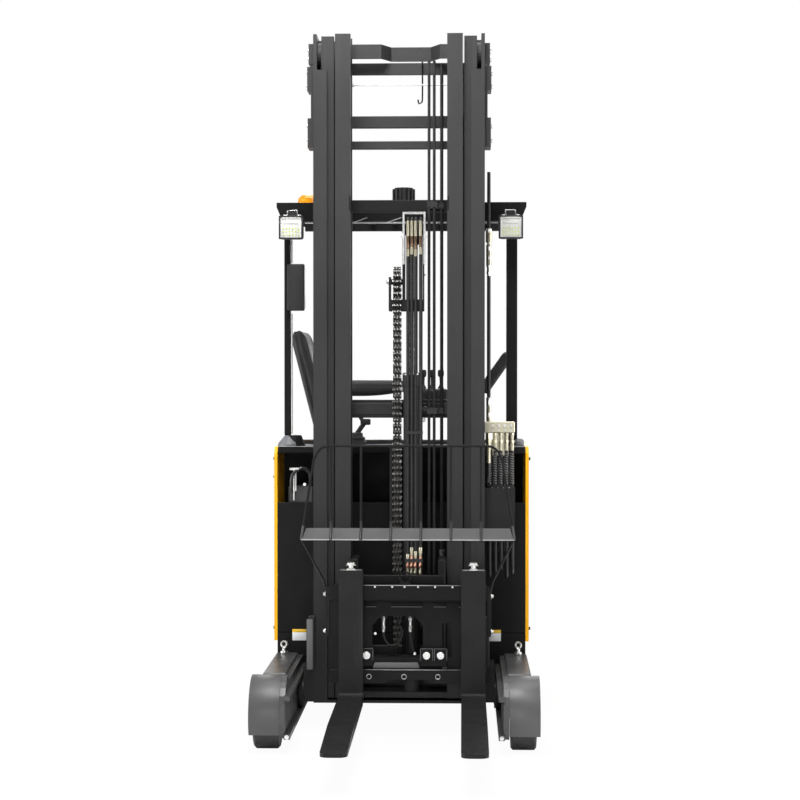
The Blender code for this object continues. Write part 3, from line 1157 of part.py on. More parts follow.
def fork(name, x):
    """A fork: its hooked shank, the bent heel and the tapered blade with rounded tip corners."""
    front = FORK_FACE_Y
    back = front + FORK_THICKNESS
    tip = front - FORK_LENGTH
    outer = 0.052
    inner = 0.014
    heel_low = (back - outer, FORK_BOTTOM + outer)
    heel_high = (front - inner, FORK_BOTTOM + FORK_THICKNESS + inner)
    outline = [(tip, FORK_BOTTOM)] + arc(heel_low, outer, 270, 360, 6)
    outline += [(back, FORK_TOP), (front, FORK_TOP)]
    outline += arc(heel_high, inner, 0, -90, 4)
    outline += [(tip + 0.42, FORK_BOTTOM + FORK_THICKNESS), (tip, FORK_BOTTOM + FORK_TIP_THICKNESS)]
    body = prism("X", outline, x - FORK_WIDTH / 2, x + FORK_WIDTH / 2)
    bm = bmesh.new()
    bm.from_mesh(body.data)
    corners = [edge for edge in bm.edges if all(abs(v.co.y - tip) < 1e-6 for v in edge.verts)
               and abs(edge.verts[0].co.x - edge.verts[1].co.x) < 1e-6]
    bmesh.ops.bevel(bm, geom=corners, offset=0.030, segments=3, profile=0.5, affect="EDGES", material=-1)
    bm.to_mesh(body.data)
    bm.free()
    hook_x = (x - FORK_WIDTH / 2 + 0.004, x + FORK_WIDTH / 2 - 0.004)
    hook_back = CARRIAGE_Y[1] - 0.010
    top_hook = prism("X", [(back - 0.004, CARRIAGE_TOP + GAP), (hook_back, CARRIAGE_TOP + GAP),
                           (hook_back, CARRIAGE_TOP + 0.022), (back - 0.004, CARRIAGE_TOP + 0.050)], *hook_x)
    low_hook = prism("X", [(back - 0.004, CARRIAGE_BOTTOM - GAP), (back - 0.004, CARRIAGE_BOTTOM - 0.030),
                           (hook_back, CARRIAGE_BOTTOM - 0.022), (hook_back, CARRIAGE_BOTTOM - GAP)], *hook_x)
    fuse(body, top_hook, low_hook)
    pin_y = (front + back) / 2 + 0.004
    fuse(body, rod("Z", (x, pin_y, FORK_TOP + 0.010), 0.008, 0.030, 14))
    fuse(body, rod("Z", (x, pin_y, FORK_TOP + 0.024), 0.016, 0.006, 18, 0.013))
    keep(body, name, "mast_paint", "fork_carriage")


def backrest():
    """The load backrest: a bent rod frame, six upright rods and the sloping shelf they stand on."""
    centre = SIDESHIFT
    foot_x = CARRIAGE_HALF + BACKREST_ROD + 0.008
    y = CARRIAGE_Y[0] + 0.010
    front_y = FORK_FACE_Y - 0.004
    corner = 0.055
    top_half = 0.386
    half_path = [(foot_x, y, 0.430), (foot_x, y, 0.600), (foot_x + 0.012, y, 0.650)]
    half_path += [(BACKREST_HALF, front_y - 0.028, SHELF_Z + 0.004), (top_half, front_y, BACKREST_TOP - corner)]
    for px, pz in arc((top_half - corner - 0.006, BACKREST_TOP - corner), corner, 15, 90, 4):
        half_path.append((px, front_y, pz))
    right_half = [(centre + x, py, z) for x, py, z in half_path]
    left_half = [(centre - x, py, z) for x, py, z in reversed(half_path)]
    frame = tube(right_half + left_half, BACKREST_ROD, 1)
    shelf_outline = [(front_y - 0.040, SHELF_Z - 0.004), (front_y - 0.034, SHELF_Z - 0.006),
                     (front_y + 0.010, SHELF_Z + 0.040), (front_y + 0.004, SHELF_Z + 0.043)]
    shelf = prism("X", shelf_outline, centre - BACKREST_HALF + 0.002, centre + BACKREST_HALF - 0.002)
    bm = bmesh.new()
    bm.from_mesh(shelf.data)
    for vert in bm.verts:
        if vert.co.z > SHELF_Z + 0.02:
            vert.co.x += 0.016 if vert.co.x < centre else -0.016
    bm.to_mesh(shelf.data)
    bm.free()
    fuse(frame, shelf)
    pitch = 0.123
    for i in range(6):
        x = centre - 0.0075 + (i - 2.5) * pitch
        upright = tube([(x, front_y, BACKREST_TOP), (x, front_y, SHELF_Z + 0.050), (x, front_y - 0.004, SHELF_Z + 0.040),
                        (x, front_y - 0.042, SHELF_Z - 0.002)], BACKREST_ROD, 1)
        fuse(frame, upright)
    for side in (LEFT, RIGHT):
        plate_x = sorted((centre + side * (CARRIAGE_HALF + GAP), centre + side * (foot_x + 0.004)))
        fuse(frame, box(plate_x, (CARRIAGE_Y[0] + 0.002, CARRIAGE_Y[1] - 0.002), (0.420, CARRIAGE_TOP - 0.008)))
    keep(frame, "load_backrest", "shelf_paint", "fork_carriage")


def manifold():
    """The hydraulic manifold on the outer mast, its bracket, and the hoses that loop below it."""
    y = OUTER_Y[1] + 0.050
    bracket = box((OUTER_X[1] + GAP, 0.486), (y + 0.020, y + 0.026), (0.820, 1.180))
    return_y = y - 2 * REACH_LOOP_RADIUS
    arm = box((OUTER_X[1] + GAP, OUTER_X[1] + 0.012), (return_y - 0.020, y + 0.024), (0.900, 1.010))
    fuse(bracket, arm)
    fuse(bracket, box((OUTER_X[1] + 0.001, 0.494), (return_y - 0.024, return_y - 0.018), (0.827, 1.017)))
    fuse(bracket, box((OUTER_X[1] + 0.001, 0.4935), (return_y - 0.020, return_y + 0.016),
                      (RETURN_BLOCK_LOW, RETURN_BLOCK_LOW + 0.033), 0.001))
    keep(bracket, "hose_bracket", "body_paint", "mast_outer")
    low = 1.249
    block = box((OUTER_X[1] + GAP, 0.496), (y - 0.020, y + 0.024), (low, low + 0.049), 0.003)
    fuse(block, box((0.400, 0.470), (y + 0.012, y + 0.0197), (1.150, low + 0.002)))
    riser_x = OUTER_X[1] + 0.020
    fuse(block, rod("Z", (riser_x, y, (low + 0.040 + 2.380) / 2), 0.0075, 2.380 - low - 0.040, 10))
    for z, length, radius in ((2.100, 0.050, 0.014), (2.020, 0.090, 0.012), (1.330, 0.090, 0.011)):
        fuse(block, rod("Z", (riser_x, y, z), radius, length, 12))
    keep(block, "manifold", "plated", "mast_outer")
    hoses = None
    for i in range(5):
        x = 0.386 + i * 0.0245
        loop_z = REACH_LOOP_Z + 0.016 * (i % 3)
        path = [(x, y, low - GAP)]
        for loop_y, z in arc((y - REACH_LOOP_RADIUS, loop_z), REACH_LOOP_RADIUS, 0, -180, 8):
            path.append((x, loop_y, z))
        path.append((x, return_y, RETURN_BLOCK_LOW - GAP))
        hose = tube(path, REACH_HOSE_RADIUS, 1)
        hoses = hose if hoses is None else fuse(hoses, hose)
    for z in (1.000, 0.800):
        hoses = fuse(hoses, box((0.376, 0.494), (y - 0.008, y + 0.008), (z, z + 0.020)))
    keep(hoses, "reach_hoses", "hose_rubber", "mast_outer")


def build():
    add_body("load_wheel_left", (-LOAD_WHEEL_X, LOAD_AXLE_Y, LOAD_WHEEL_RADIUS))
    add_body("load_wheel_right", (LOAD_WHEEL_X, LOAD_AXLE_Y, LOAD_WHEEL_RADIUS))
    add_body("drive_turntable", (DRIVE_X, DRIVE_Y, BASE_TOP))
    add_body("drive_wheel", (DRIVE_X, DRIVE_Y, DRIVE_WHEEL_RADIUS), "drive_turntable")
    add_body("steering_wheel", (STEERING_X, STEERING_Y, STEERING_Z))
    add_body("mast_outer", (0.0, MAST_FRONT_Y, MAST_BOTTOM))
    add_body("mast_middle", (0.0, MAST_FRONT_Y, MIDDLE_LOW), "mast_outer")
    add_body("mast_inner", (0.0, MAST_FRONT_Y, INNER_LOW), "mast_middle")
    add_body("crosshead", (FREE_LIFT_X, FREE_LIFT_Y, FREE_BARREL_TOP), "mast_inner")
    add_body("lift_carriage", (0.0, INNER_Y[0], CARRIAGE_BOTTOM), "mast_inner")
    add_body("tilt_frame", (0.0, TILT_Y, TILT_Z), "lift_carriage")
    add_body("fork_carriage", (SIDESHIFT, FORK_FACE_Y, CARRIAGE_BOTTOM), "tilt_frame")
    chassis_base()
    for name, side in SIDES.items():
        load_arm("load_arm_" + name, side)
        wheel_cover("wheel_cover_" + name, side)
        load_wheel("load_wheel_" + name, side, "load_wheel_" + name)
    drive_unit()
    body_panels()
    operator_place()
    steering_and_display()
    overhead_guard()
    battery_connector()
    mast_outer()
    mast_middle()
    mast_inner()
    crosshead()
    lift_chain()
    carriage_hoses()
    lift_carriage()
    tilt_frame()
    fork_carriage()
    for name, x in FORK_XS.items():
        fork("fork_" + name, x)
    backrest()
    manifold()


build()
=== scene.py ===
import math

import bmesh
import bpy
from mathutils import Matrix, Vector


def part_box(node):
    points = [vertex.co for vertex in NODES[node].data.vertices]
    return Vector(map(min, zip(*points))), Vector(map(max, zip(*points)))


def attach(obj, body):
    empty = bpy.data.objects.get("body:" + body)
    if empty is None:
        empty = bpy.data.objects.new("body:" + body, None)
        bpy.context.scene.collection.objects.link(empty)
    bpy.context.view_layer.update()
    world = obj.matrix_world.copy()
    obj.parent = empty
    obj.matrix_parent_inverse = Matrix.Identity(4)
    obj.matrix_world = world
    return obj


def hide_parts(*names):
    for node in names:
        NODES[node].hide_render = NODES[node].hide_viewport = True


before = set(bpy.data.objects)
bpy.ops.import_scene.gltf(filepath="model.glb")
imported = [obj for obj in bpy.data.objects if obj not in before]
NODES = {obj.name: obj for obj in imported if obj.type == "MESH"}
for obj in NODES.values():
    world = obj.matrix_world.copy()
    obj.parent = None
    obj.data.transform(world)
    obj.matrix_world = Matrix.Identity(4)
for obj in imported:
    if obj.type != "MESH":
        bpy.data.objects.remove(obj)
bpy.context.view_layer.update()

LEFT, RIGHT = -1, 1
SIDES = (("left", LEFT), ("right", RIGHT))

# Places and sizes of the truck, in metres
FORK_FACE_Y = -0.18
LOAD_AXLE = Vector((0.512, -0.36, 0.1425))
DRIVE_AXLE = Vector((-0.1, 1.0, 0.165))
CARRIAGE_FRONT_Y = -0.1397
SIDESHIFT = 0.045
TILT_PLATE_FRONT = -0.101
CHASSIS_FRONT_Y = 0.374
CHASSIS_HALF = 0.56
BODY_TOP = 1.184
MAST_FRONT_Y = 0.06
FREE_LIFT = Vector((0.053, 0.105, 0.0))
CHAIN_X = -0.008
CHAIN_PULLEY_Z = 1.895
CHAIN_RADIUS = 0.055
CHAIN_PITCH = 0.0254
CHAIN_FRONT_END = 0.65
CHAIN_REAR_END = 0.3
HOSE_XS = (0.038, 0.0545, 0.071, 0.092)
HOSE_LOOP_RADIUS = 0.06
LIFT_ROD = Vector((0.27, 0.304, 0.0))
MANIFOLD_Y = 0.296
MANIFOLD_LOW = 1.249
REACH_HOSE_RADIUS = 0.007
REACH_LOOP_RADIUS = 0.056
REACH_LOOP_Z = 0.686
RETURN_BLOCK_LOW = 0.872
REACH_HOSE_XS = [0.386 + index * 0.0245 for index in range(5)]
LIGHT_X = 0.479
COVER_RADIUS = 0.1515
COVER_WALL = 0.004
COVER_BOTTOM = 0.075
COVER_INNER = 0.4545
COVER_EDGE = 0.5732
COVER_OUTER = 0.5766
LIGHT_Z = (2.093, 2.194)
LIGHT_FRONT_Y = 0.31
TOUCH = 0.0003
FRONT = (0, -1, 0)
UP = (0, 0, 1)

# The camera in metres and degrees
CAMERA_PLACE = (0.267, -7.94, 1.5)
CAMERA_LENS = 85.2
CAMERA_DIP = 0.757
CAMERA_TURN = 1.876

# Padding
PAD_VOXEL = 0.006
CLOTH_STEPS = 20

# Heights of the load backrest's grey shelf, whose paler grey is painted light from above, and of its bright
# lip, a painted highlight, and of the mast's cross member, painted dark as shade
SHELF_LIP_HIGHLIGHT = (0.8245, 0.825)
SHELF_LOW = (0.8285, 0.829)
SHELF_TOP = (0.883, 0.8835)
MEMBER_SHADE_Z = 2.225
MEMBER_SHADE_HALF_HEIGHT = 0.03
MEMBER_SHADE_HALF_WIDTH = 0.212


def new_object(name, data):
    """An object of the data, linked to the scene."""
    made = bpy.data.objects.new(name, data)
    bpy.context.scene.collection.objects.link(made)
    return made


# Shapes, each a new bmesh in the truck's frame

def round_edges(bm, edges, offset, segments=2, clamp=False):
    bmesh.ops.bevel(bm, geom=edges, offset=offset, segments=segments, profile=0.5, affect="EDGES",
                    material=-1, clamp_overlap=clamp)


def block(x, y, z, bevel=0.0, segments=2):
    """A box between the given limits, its edges rounded by bevel."""
    centre = Vector(((x[0] + x[1]) / 2, (y[0] + y[1]) / 2, (z[0] + z[1]) / 2))
    size = Vector((x[1] - x[0], y[1] - y[0], z[1] - z[0]))
    bm = bmesh.new()
    bmesh.ops.create_cube(bm, size=1.0, matrix=Matrix.LocRotScale(centre, None, size))
    if bevel:
        round_edges(bm, bm.edges[:], bevel, segments, clamp=True)
    return bm


def facing(direction):
    """The turn that brings +Z to a direction."""
    return Vector(direction).to_track_quat("Z", "Y").to_matrix().to_4x4()


def rod(start, end, radius, end_radius=None, sides=24, bevel=0.0):
    """A round bar from start to end, tapered if end_radius is given."""
    start, end = Vector(start), Vector(end)
    if end_radius is None:
        end_radius = radius
    bm = bmesh.new()
    place = Matrix.Translation((start + end) / 2) @ facing(end - start)
    bmesh.ops.create_cone(bm, cap_ends=True, segments=sides, radius1=radius, radius2=end_radius,
                          depth=(end - start).length, matrix=place)
    if bevel:
        rims = [edge for edge in bm.edges if any(len(face.verts) > 4 for face in edge.link_faces)]
        round_edges(bm, rims, bevel)
    return bm


def post(x, y, start, end, radius, end_radius=None, sides=20, bevel=0.0):
    """A round bar between two heights."""
    return rod((x, y, start), (x, y, end), radius, end_radius, sides, bevel)


def turned(centre, direction, profile, steps=32):
    """A profile of (radius, offset) turned about a line through centre."""
    bm = bmesh.new()
    verts = [bm.verts.new((radius, 0.0, offset)) for radius, offset in profile]
    edges = [bm.edges.new(pair) for pair in zip(verts, verts[1:])]
    bmesh.ops.spin(bm, geom=verts + edges, cent=(0, 0, 0), axis=(0, 0, 1), angle=2 * math.pi,
                   steps=steps, use_merge=True)
    bmesh.ops.remove_doubles(bm, verts=bm.verts[:], dist=1e-6)
    bmesh.ops.recalc_face_normals(bm, faces=bm.faces[:])
    bmesh.ops.transform(bm, matrix=Matrix.Translation(Vector(centre)) @ facing(direction), verts=bm.verts[:])
    return bm


def ring(centre, direction, radius, thickness, steps=32):
    """A round ring of round section."""
    section = []
    for step in range(9):
        angle = 2 * math.pi * step / 8
        section.append((radius + thickness * math.cos(angle), thickness * math.sin(angle)))
    return turned(centre, direction, section, steps)


def plate(axis, outline, low, high, bevel=0.0):
    """A flat outline of two coordinates, pushed along the remaining axis from low to high."""
    along = {"X": 0, "Y": 1, "Z": 2}[axis]
    bm = bmesh.new()
    verts = []
    for point in outline:
        place = list(point)
        place.insert(along, low)
        verts.append(bm.verts.new(place))
    face = bm.faces.new(verts)
    pushed = bmesh.ops.extrude_face_region(bm, geom=[face])
    move = [0.0, 0.0, 0.0]
    move[along] = high - low
    bmesh.ops.translate(bm, verts=[item for item in pushed["geom"] if isinstance(item, bmesh.types.BMVert)],
                        vec=move)
    bmesh.ops.recalc_face_normals(bm, faces=bm.faces[:])
    if bevel:
        round_edges(bm, bm.edges[:], bevel, clamp=True)
    return bm


def smooth_path(points, spacing):
    """Points a little way apart on a smooth curve through the given ones."""
    points = [Vector(point) for point in points]
    ends = [2 * points[0] - points[1]] + points + [2 * points[-1] - points[-2]]
    path = [points[0]]
    for before, start, end, after in zip(ends, ends[1:], ends[2:], ends[3:]):
        steps = max(1, round((end - start).length / spacing))
        for step in range(1, steps + 1):
            t = step / steps
            path.append(0.5 * (2 * start + (end - before) * t
                               + (2 * before - 5 * start + 4 * end - after) * t * t
                               + (3 * start - before - 3 * end + after) * t ** 3))
    return path


def pipe(points, radius, resolution=3):
    """A round tube along points."""
    curve = bpy.data.curves.new("pipe", "CURVE")
    curve.dimensions = "3D"
    curve.bevel_depth = radius
    curve.bevel_resolution = resolution
    curve.use_fill_caps = True
    spline = curve.splines.new("POLY")
    spline.points.add(len(points) - 1)
    for point, place in zip(spline.points, points):
        point.co = (*place, 1.0)
    guide = new_object("pipe", curve)
    bpy.context.view_layer.update()
    mesh = bpy.data.meshes.new_from_object(guide.evaluated_get(bpy.context.evaluated_depsgraph_get()))
    bpy.data.objects.remove(guide)
    bm = bmesh.new()
    bm.from_mesh(mesh)
    bmesh.ops.remove_doubles(bm, verts=bm.verts[:], dist=1e-6)
    bmesh.ops.recalc_face_normals(bm, faces=bm.faces[:])
    return bm


def hex_bolt(centre, direction, size, washer=True):
    """A hexagon head on its washer, standing on centre and looking along direction."""
    centre, direction = Vector(centre), Vector(direction).normalized()
    base = centre
    bm = bmesh.new()
    if washer:
        base = centre + direction * size * 0.18
        add(bm, rod(centre, base, size * 0.95, sides=20))
    head = rod(base, base + direction * size * 0.62, size * 0.62, size * 0.6, sides=6)
    round_edges(head, head.edges[:], size * 0.05, segments=1)
    add(bm, head)
    return bm


def socket_screw(centre, direction, size):
    """A round screw head with a hexagon socket."""
    profile = [(0.0, size * 0.25), (size * 0.28, size * 0.25), (size * 0.3, size * 0.7),
               (size * 0.48, size * 0.72), (size * 0.55, size * 0.62), (size * 0.55, 0.0), (0.0, 0.0)]
    return turned(centre, direction, profile, 18)


def fitting(start, end, size):
    """A pipe fitting: a swaged sleeve between two hexagon nuts."""
    start, end = Vector(start), Vector(end)
    step = end - start
    bm = bmesh.new()
    add(bm, rod(start, start + step * 0.28, size * 1.15, sides=6, bevel=size * 0.1))
    add(bm, rod(start + step * 0.28, start + step * 0.62, size * 0.86, sides=20))
    add(bm, rod(start + step * 0.62, start + step * 0.84, size * 1.1, sides=6, bevel=size * 0.1))
    add(bm, rod(start + step * 0.84, end, size * 0.9, size * 0.78, sides=20))
    return bm


def add(bm, shape, place=None):
    """Adds a shape to bm, moved by a matrix if one is given."""
    mesh = bpy.data.meshes.new("shape")
    shape.to_mesh(mesh)
    shape.free()
    if place is not None:
        mesh.transform(place)
    bm.from_mesh(mesh)
    bpy.data.meshes.remove(mesh)
    return bm


def gather(*shapes):
    bm = bmesh.new()
    for shape in shapes:
        add(bm, shape)
    return bm


def make_piece(name, bm, material, body, replaces=(), smooth=35):
    """Makes a shape or a list of shapes an object with its material, riding on a body of the frame."""
    if isinstance(bm, list):
        bm = gather(*bm)
    mesh = bpy.data.meshes.new(name)
    bm.to_mesh(mesh)
    bm.free()
    mesh.shade_smooth()
    mesh.set_sharp_from_angle(angle=math.radians(smooth))
    piece = new_object(name, mesh)
    mesh.materials.append(material)
    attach(piece, body)
    if replaces:
        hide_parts(*replaces)
    return piece


# Materials

def new_node(tree, kind, values=None, **settings):
    """A shader node with its settings, each given input a constant or linked from a socket."""
    node = tree.nodes.new("ShaderNode" + kind)
    for name, value in settings.items():
        setattr(node, name, value)
    for name, value in (values or {}).items():
        if isinstance(value, bpy.types.NodeSocket):
            tree.links.new(value, node.inputs[name])
        else:
            node.inputs[name].default_value = value
    return node


class Surface:
    """A material's nodes, with a Principled shader and patterns on Object coordinates."""

    def __init__(self, name, roughness=0.5, metallic=0.0):
        self.material = bpy.data.materials.new(name)
        self.material.use_nodes = True
        self.tree = self.material.node_tree
        self.shader = self.tree.nodes["Principled BSDF"]
        self.shader.inputs["Roughness"].default_value = roughness
        self.shader.inputs["Metallic"].default_value = metallic
        self.place = new_node(self.tree, "TexCoord").outputs["Object"]

    def stretch(self, scale, centre=(0, 0, 0)):
        shift = [-c * s for c, s in zip(centre, scale)]
        return new_node(self.tree, "Mapping", {"Scale": scale, "Location": shift, "Vector": self.place},
                        vector_type="POINT").outputs["Vector"]

    def noise(self, scale, detail=4.0, vector=None):
        return new_node(self.tree, "TexNoise", {"Scale": scale, "Detail": detail,
                                                "Vector": vector or self.place}).outputs["Fac"]

    def cells(self, scale, feature="F1"):
        return new_node(self.tree, "TexVoronoi", {"Scale": scale, "Vector": self.place},
                        feature=feature).outputs["Distance"]

    def waves(self, scale, distortion=0.0):
        return new_node(self.tree, "TexWave",
                        {"Scale": scale, "Distortion": distortion, "Vector": self.place},
                        bands_direction="Z").outputs["Fac"]

    def distance(self, vector):
        """How far a point is from the vector's origin."""
        return new_node(self.tree, "VectorMath", {0: vector}, operation="LENGTH").outputs["Value"]

    def remap(self, value, low, high, to_low, to_high):
        return new_node(self.tree, "MapRange", {"Value": value, "From Min": low, "From Max": high,
                                                "To Min": to_low, "To Max": to_high}).outputs["Result"]

    def math(self, operation, *values):
        return new_node(self.tree, "Math", dict(enumerate(values)), operation=operation).outputs["Value"]

    def mix(self, factor, first, second):
        first, second = ((*value, 1.0) if isinstance(value, tuple) else value for value in (first, second))
        return new_node(self.tree, "Mix", {"Factor": factor, 6: first, 7: second},
                        data_type="RGBA").outputs[2]

    def axis(self, index):
        return new_node(self.tree, "SeparateXYZ", {"Vector": self.place}).outputs[index]

    def colour(self, value):
        self.tree.links.new(value, self.shader.inputs["Base Color"])

    def roughness(self, value):
        self.tree.links.new(value, self.shader.inputs["Roughness"])

    def patches(self, scale, detail, low=0.3, high=0.7):
        """Soft patches from 0 to 1."""
        return self.remap(self.noise(scale, detail), low, high, 0.0, 1.0)

    def tones(self, factor, colour, dark, light):
        """The colour's darker and lighter tone, mixed by a factor."""
        return self.mix(factor, tint(colour, dark), tint(colour, light))

    def sheen(self, scale, detail, smooth, rough):
        self.roughness(self.remap(self.noise(scale, detail), 0.3, 0.7, smooth, rough))

    def bump(self, value, strength, depth):
        node = new_node(self.tree, "Bump", {"Strength": strength, "Distance": depth, "Height": value})
        self.tree.links.new(node.outputs["Normal"], self.shader.inputs["Normal"])


def tint(colour, factor):
    return tuple(min(1.0, channel * factor) for channel in colour)


def powder_coat(name, colour, roughness, peel=0.2, tones=0.14, scuffs=0.0, gloss=0.28):
    """Satin paint: an orange-peel surface, soft changes of tone and a few scuffs."""
    surface = Surface(name, roughness)
    cloud = surface.patches(2.2, 3.0)
    base = surface.tones(cloud, colour, 1 - tones, 1 + tones)
    if scuffs:
        marks = surface.noise(9.0, 8.0, surface.stretch((1.0, 1.0, 0.25)))
        base = surface.mix(surface.remap(marks, 0.66, 0.74, 0.0, scuffs), base, tint(colour, 2.2))
    surface.colour(base)
    surface.sheen(14.0, 5.0, roughness - 0.07, roughness + 0.07)
    surface.bump(surface.noise(420.0, 2.0), peel, 0.0004)
    surface.shader.inputs["Specular IOR Level"].default_value = gloss
    return surface.material


def rolled_steel(name, colour, roughness):
    """Paint on a rolled mast section, with upright streaks where rollers pass, painted shade darkening it
    towards the foot, and a band of painted shade on the cross member.
    """
    surface = Surface(name, roughness)
    streak = surface.noise(60.0, 4.0, surface.stretch((1.0, 1.0, 0.02)))
    cloud = surface.noise(1.6, 3.0)
    base = surface.tones(surface.remap(cloud, 0.35, 0.65, 0.0, 1.0), colour, 0.86, 1.14)
    base = surface.mix(surface.remap(streak, 0.6, 0.75, 0.0, 0.35), base, tint(colour, 1.7))
    # Painted shade: the paint darkens towards the foot of the mast, where less light falls.
    height = surface.axis(2)
    foot = surface.remap(height, 0.2, 2.0, 0.8, 0.0)
    base = surface.mix(foot, base, tint(colour, 0.25))
    # Painted shade: a near-black band across the cross member, where it lies in shade.
    middle = surface.math("ABSOLUTE", surface.axis(0), 0.0)
    level = surface.math("COMPARE", height, MEMBER_SHADE_Z, MEMBER_SHADE_HALF_HEIGHT)
    member = surface.math("MULTIPLY", level, surface.math("LESS_THAN", middle, MEMBER_SHADE_HALF_WIDTH))
    base = surface.mix(member, base, tint(colour, 0.12))
    surface.colour(base)
    surface.roughness(surface.remap(streak, 0.3, 0.7, roughness - 0.06, roughness + 0.08))
    surface.bump(surface.noise(500.0, 2.0), 0.16, 0.0003)
    surface.shader.inputs["Specular IOR Level"].default_value = 0.3
    return surface.material


def shelf_coat(name, dark, pale):
    """The load backrest's black paint with painted light on its shelf, parted by the height: a paler grey
    where light from above falls on the tilted shelf, and a painted highlight along its lower lip.
    """
    surface = Surface(name, 0.36)
    height = surface.axis(2)
    # Painted light: the shelf band gets a paler grey for the light from above, and the lip band below it a
    # bright painted highlight.
    shelf = surface.math("MULTIPLY", surface.remap(height, *SHELF_LOW, 0.0, 1.0),
                         surface.remap(height, *SHELF_TOP, 1.0, 0.0))
    lip = surface.math("MULTIPLY", surface.remap(height, *SHELF_LIP_HIGHLIGHT, 0.0, 1.0),
                       surface.remap(height, *SHELF_LOW, 1.0, 0.0))
    cloud = surface.patches(6.0, 4.0)
    grey = surface.tones(cloud, pale, 0.9, 1.08)
    black = surface.tones(cloud, dark, 0.8, 1.25)
    surface.colour(surface.mix(lip, surface.mix(shelf, black, grey), tint(pale, 3.5)))
    surface.sheen(14.0, 5.0, 0.42, 0.56)
    surface.bump(surface.noise(420.0, 2.0), 0.14, 0.0003)
    surface.shader.inputs["Specular IOR Level"].default_value = 0.14
    return surface.material


def bare_metal(name, colour, roughness, brush=(1.0, 1.0, 1.0), tones=0.1):
    """Plated or ground metal with fine brush marks and uneven sheen."""
    surface = Surface(name, roughness, 1.0)
    marks = surface.noise(700.0, 3.0, surface.stretch(brush))
    surface.colour(surface.tones(surface.patches(30.0, 4.0), colour, 1 - tones, 1 + tones))
    surface.roughness(surface.remap(marks, 0.3, 0.7, roughness - 0.08, roughness + 0.1))
    surface.bump(marks, 0.08, 0.0002)
    return surface.material


def zinc(name, colour):
    """Zinc plating with its faint spangle."""
    surface = Surface(name, 0.34, 1.0)
    flakes = surface.cells(120.0)
    surface.colour(surface.tones(surface.remap(flakes, 0.0, 0.8, 0.0, 1.0), colour, 0.82, 1.1))
    surface.roughness(surface.remap(flakes, 0.0, 0.8, 0.26, 0.44))
    surface.bump(surface.noise(300.0, 3.0), 0.1, 0.0002)
    return surface.material


def moulded_plastic(name, colour, roughness, grain=900.0, depth=0.35):
    """Injection-moulded plastic with a spark-eroded grain."""
    surface = Surface(name, roughness)
    grains = surface.cells(grain, "SMOOTH_F1")
    surface.colour(surface.tones(surface.patches(3.0, 3.0), colour, 0.88, 1.16))
    surface.sheen(20.0, 4.0, roughness - 0.06, roughness + 0.08)
    surface.bump(grains, depth, 0.0004)
    return surface.material


def vinyl(name, colour):
    """Seat vinyl with a leather grain."""
    surface = Surface(name, 0.52)
    wrinkles = surface.cells(330.0, "DISTANCE_TO_EDGE")
    fine = surface.noise(900.0, 2.0)
    height = surface.math("ADD", surface.remap(wrinkles, 0.0, 0.12, 0.0, 1.0),
                          surface.remap(fine, 0.0, 1.0, 0.0, 0.3))
    surface.colour(surface.tones(surface.remap(wrinkles, 0.0, 0.1, 0.0, 1.0), colour, 0.6, 1.1))
    surface.sheen(8.0, 4.0, 0.44, 0.62)
    surface.bump(height, 0.3, 0.0006)
    surface.shader.inputs["Sheen Weight"].default_value = 0.08
    return surface.material


def rubber(name, colour, roughness=0.62):
    """Dull rubber with a little bloom."""
    surface = Surface(name, roughness)
    surface.colour(surface.tones(surface.patches(26.0, 5.0, 0.35, 0.7), colour, 0.8, 1.5))
    surface.sheen(60.0, 4.0, roughness - 0.08, roughness + 0.08)
    surface.bump(surface.noise(600.0, 3.0), 0.25, 0.0003)
    return surface.material


def braided_hose(name, colour):
    """Hydraulic hose cover: fine wrap marks round the hose."""
    surface = Surface(name, 0.5)
    surface.colour(surface.tones(surface.patches(20.0, 4.0, 0.35, 0.7), colour, 0.8, 1.5))
    surface.sheen(50.0, 3.0, 0.4, 0.58)
    surface.bump(surface.waves(95.0, 0.6), 0.3, 0.0005)
    return surface.material


def wheel_surface(name, centre, hub_radius, tyre_colour, hub_colour):
    """A tyre of dull polyurethane round a painted hub, parted by the distance from the axle."""
    surface = Surface(name, 0.5)
    away = surface.distance(surface.stretch((0.0, 1.0, 1.0), centre))
    edge = surface.remap(away, hub_radius - 0.001, hub_radius + 0.001, 0.0, 1.0)
    wear = surface.patches(40.0, 6.0, 0.4, 0.7)
    tyre = surface.mix(wear, tyre_colour, tint(tyre_colour, 1.8))
    hub = surface.mix(wear, hub_colour, tint(hub_colour, 1.3))
    surface.colour(surface.mix(edge, hub, tyre))
    surface.sheen(120.0, 4.0, 0.42, 0.62)
    surface.bump(surface.noise(350.0, 3.0), 0.25, 0.0004)
    return surface.material


def clear_lens(name, colour, roughness, transmission):
    """Coloured clear plastic with moulded ribs."""
    surface = Surface(name, roughness)
    surface.colour(surface.tones(surface.patches(12.0, 2.0), colour, 0.92, 1.05))
    surface.shader.inputs["Transmission Weight"].default_value = transmission
    surface.shader.inputs["IOR"].default_value = 1.49
    surface.bump(surface.waves(60.0), 0.25, 0.0006)
    return surface.material


def plain_sheet(name, colour, roughness):
    """A printed film or a screen with the faintest unevenness."""
    surface = Surface(name, roughness)
    surface.colour(surface.tones(surface.patches(60.0, 3.0), colour, 0.95, 1.03))
    surface.bump(surface.noise(250.0, 2.0), 0.05, 0.0002)
    return surface.material


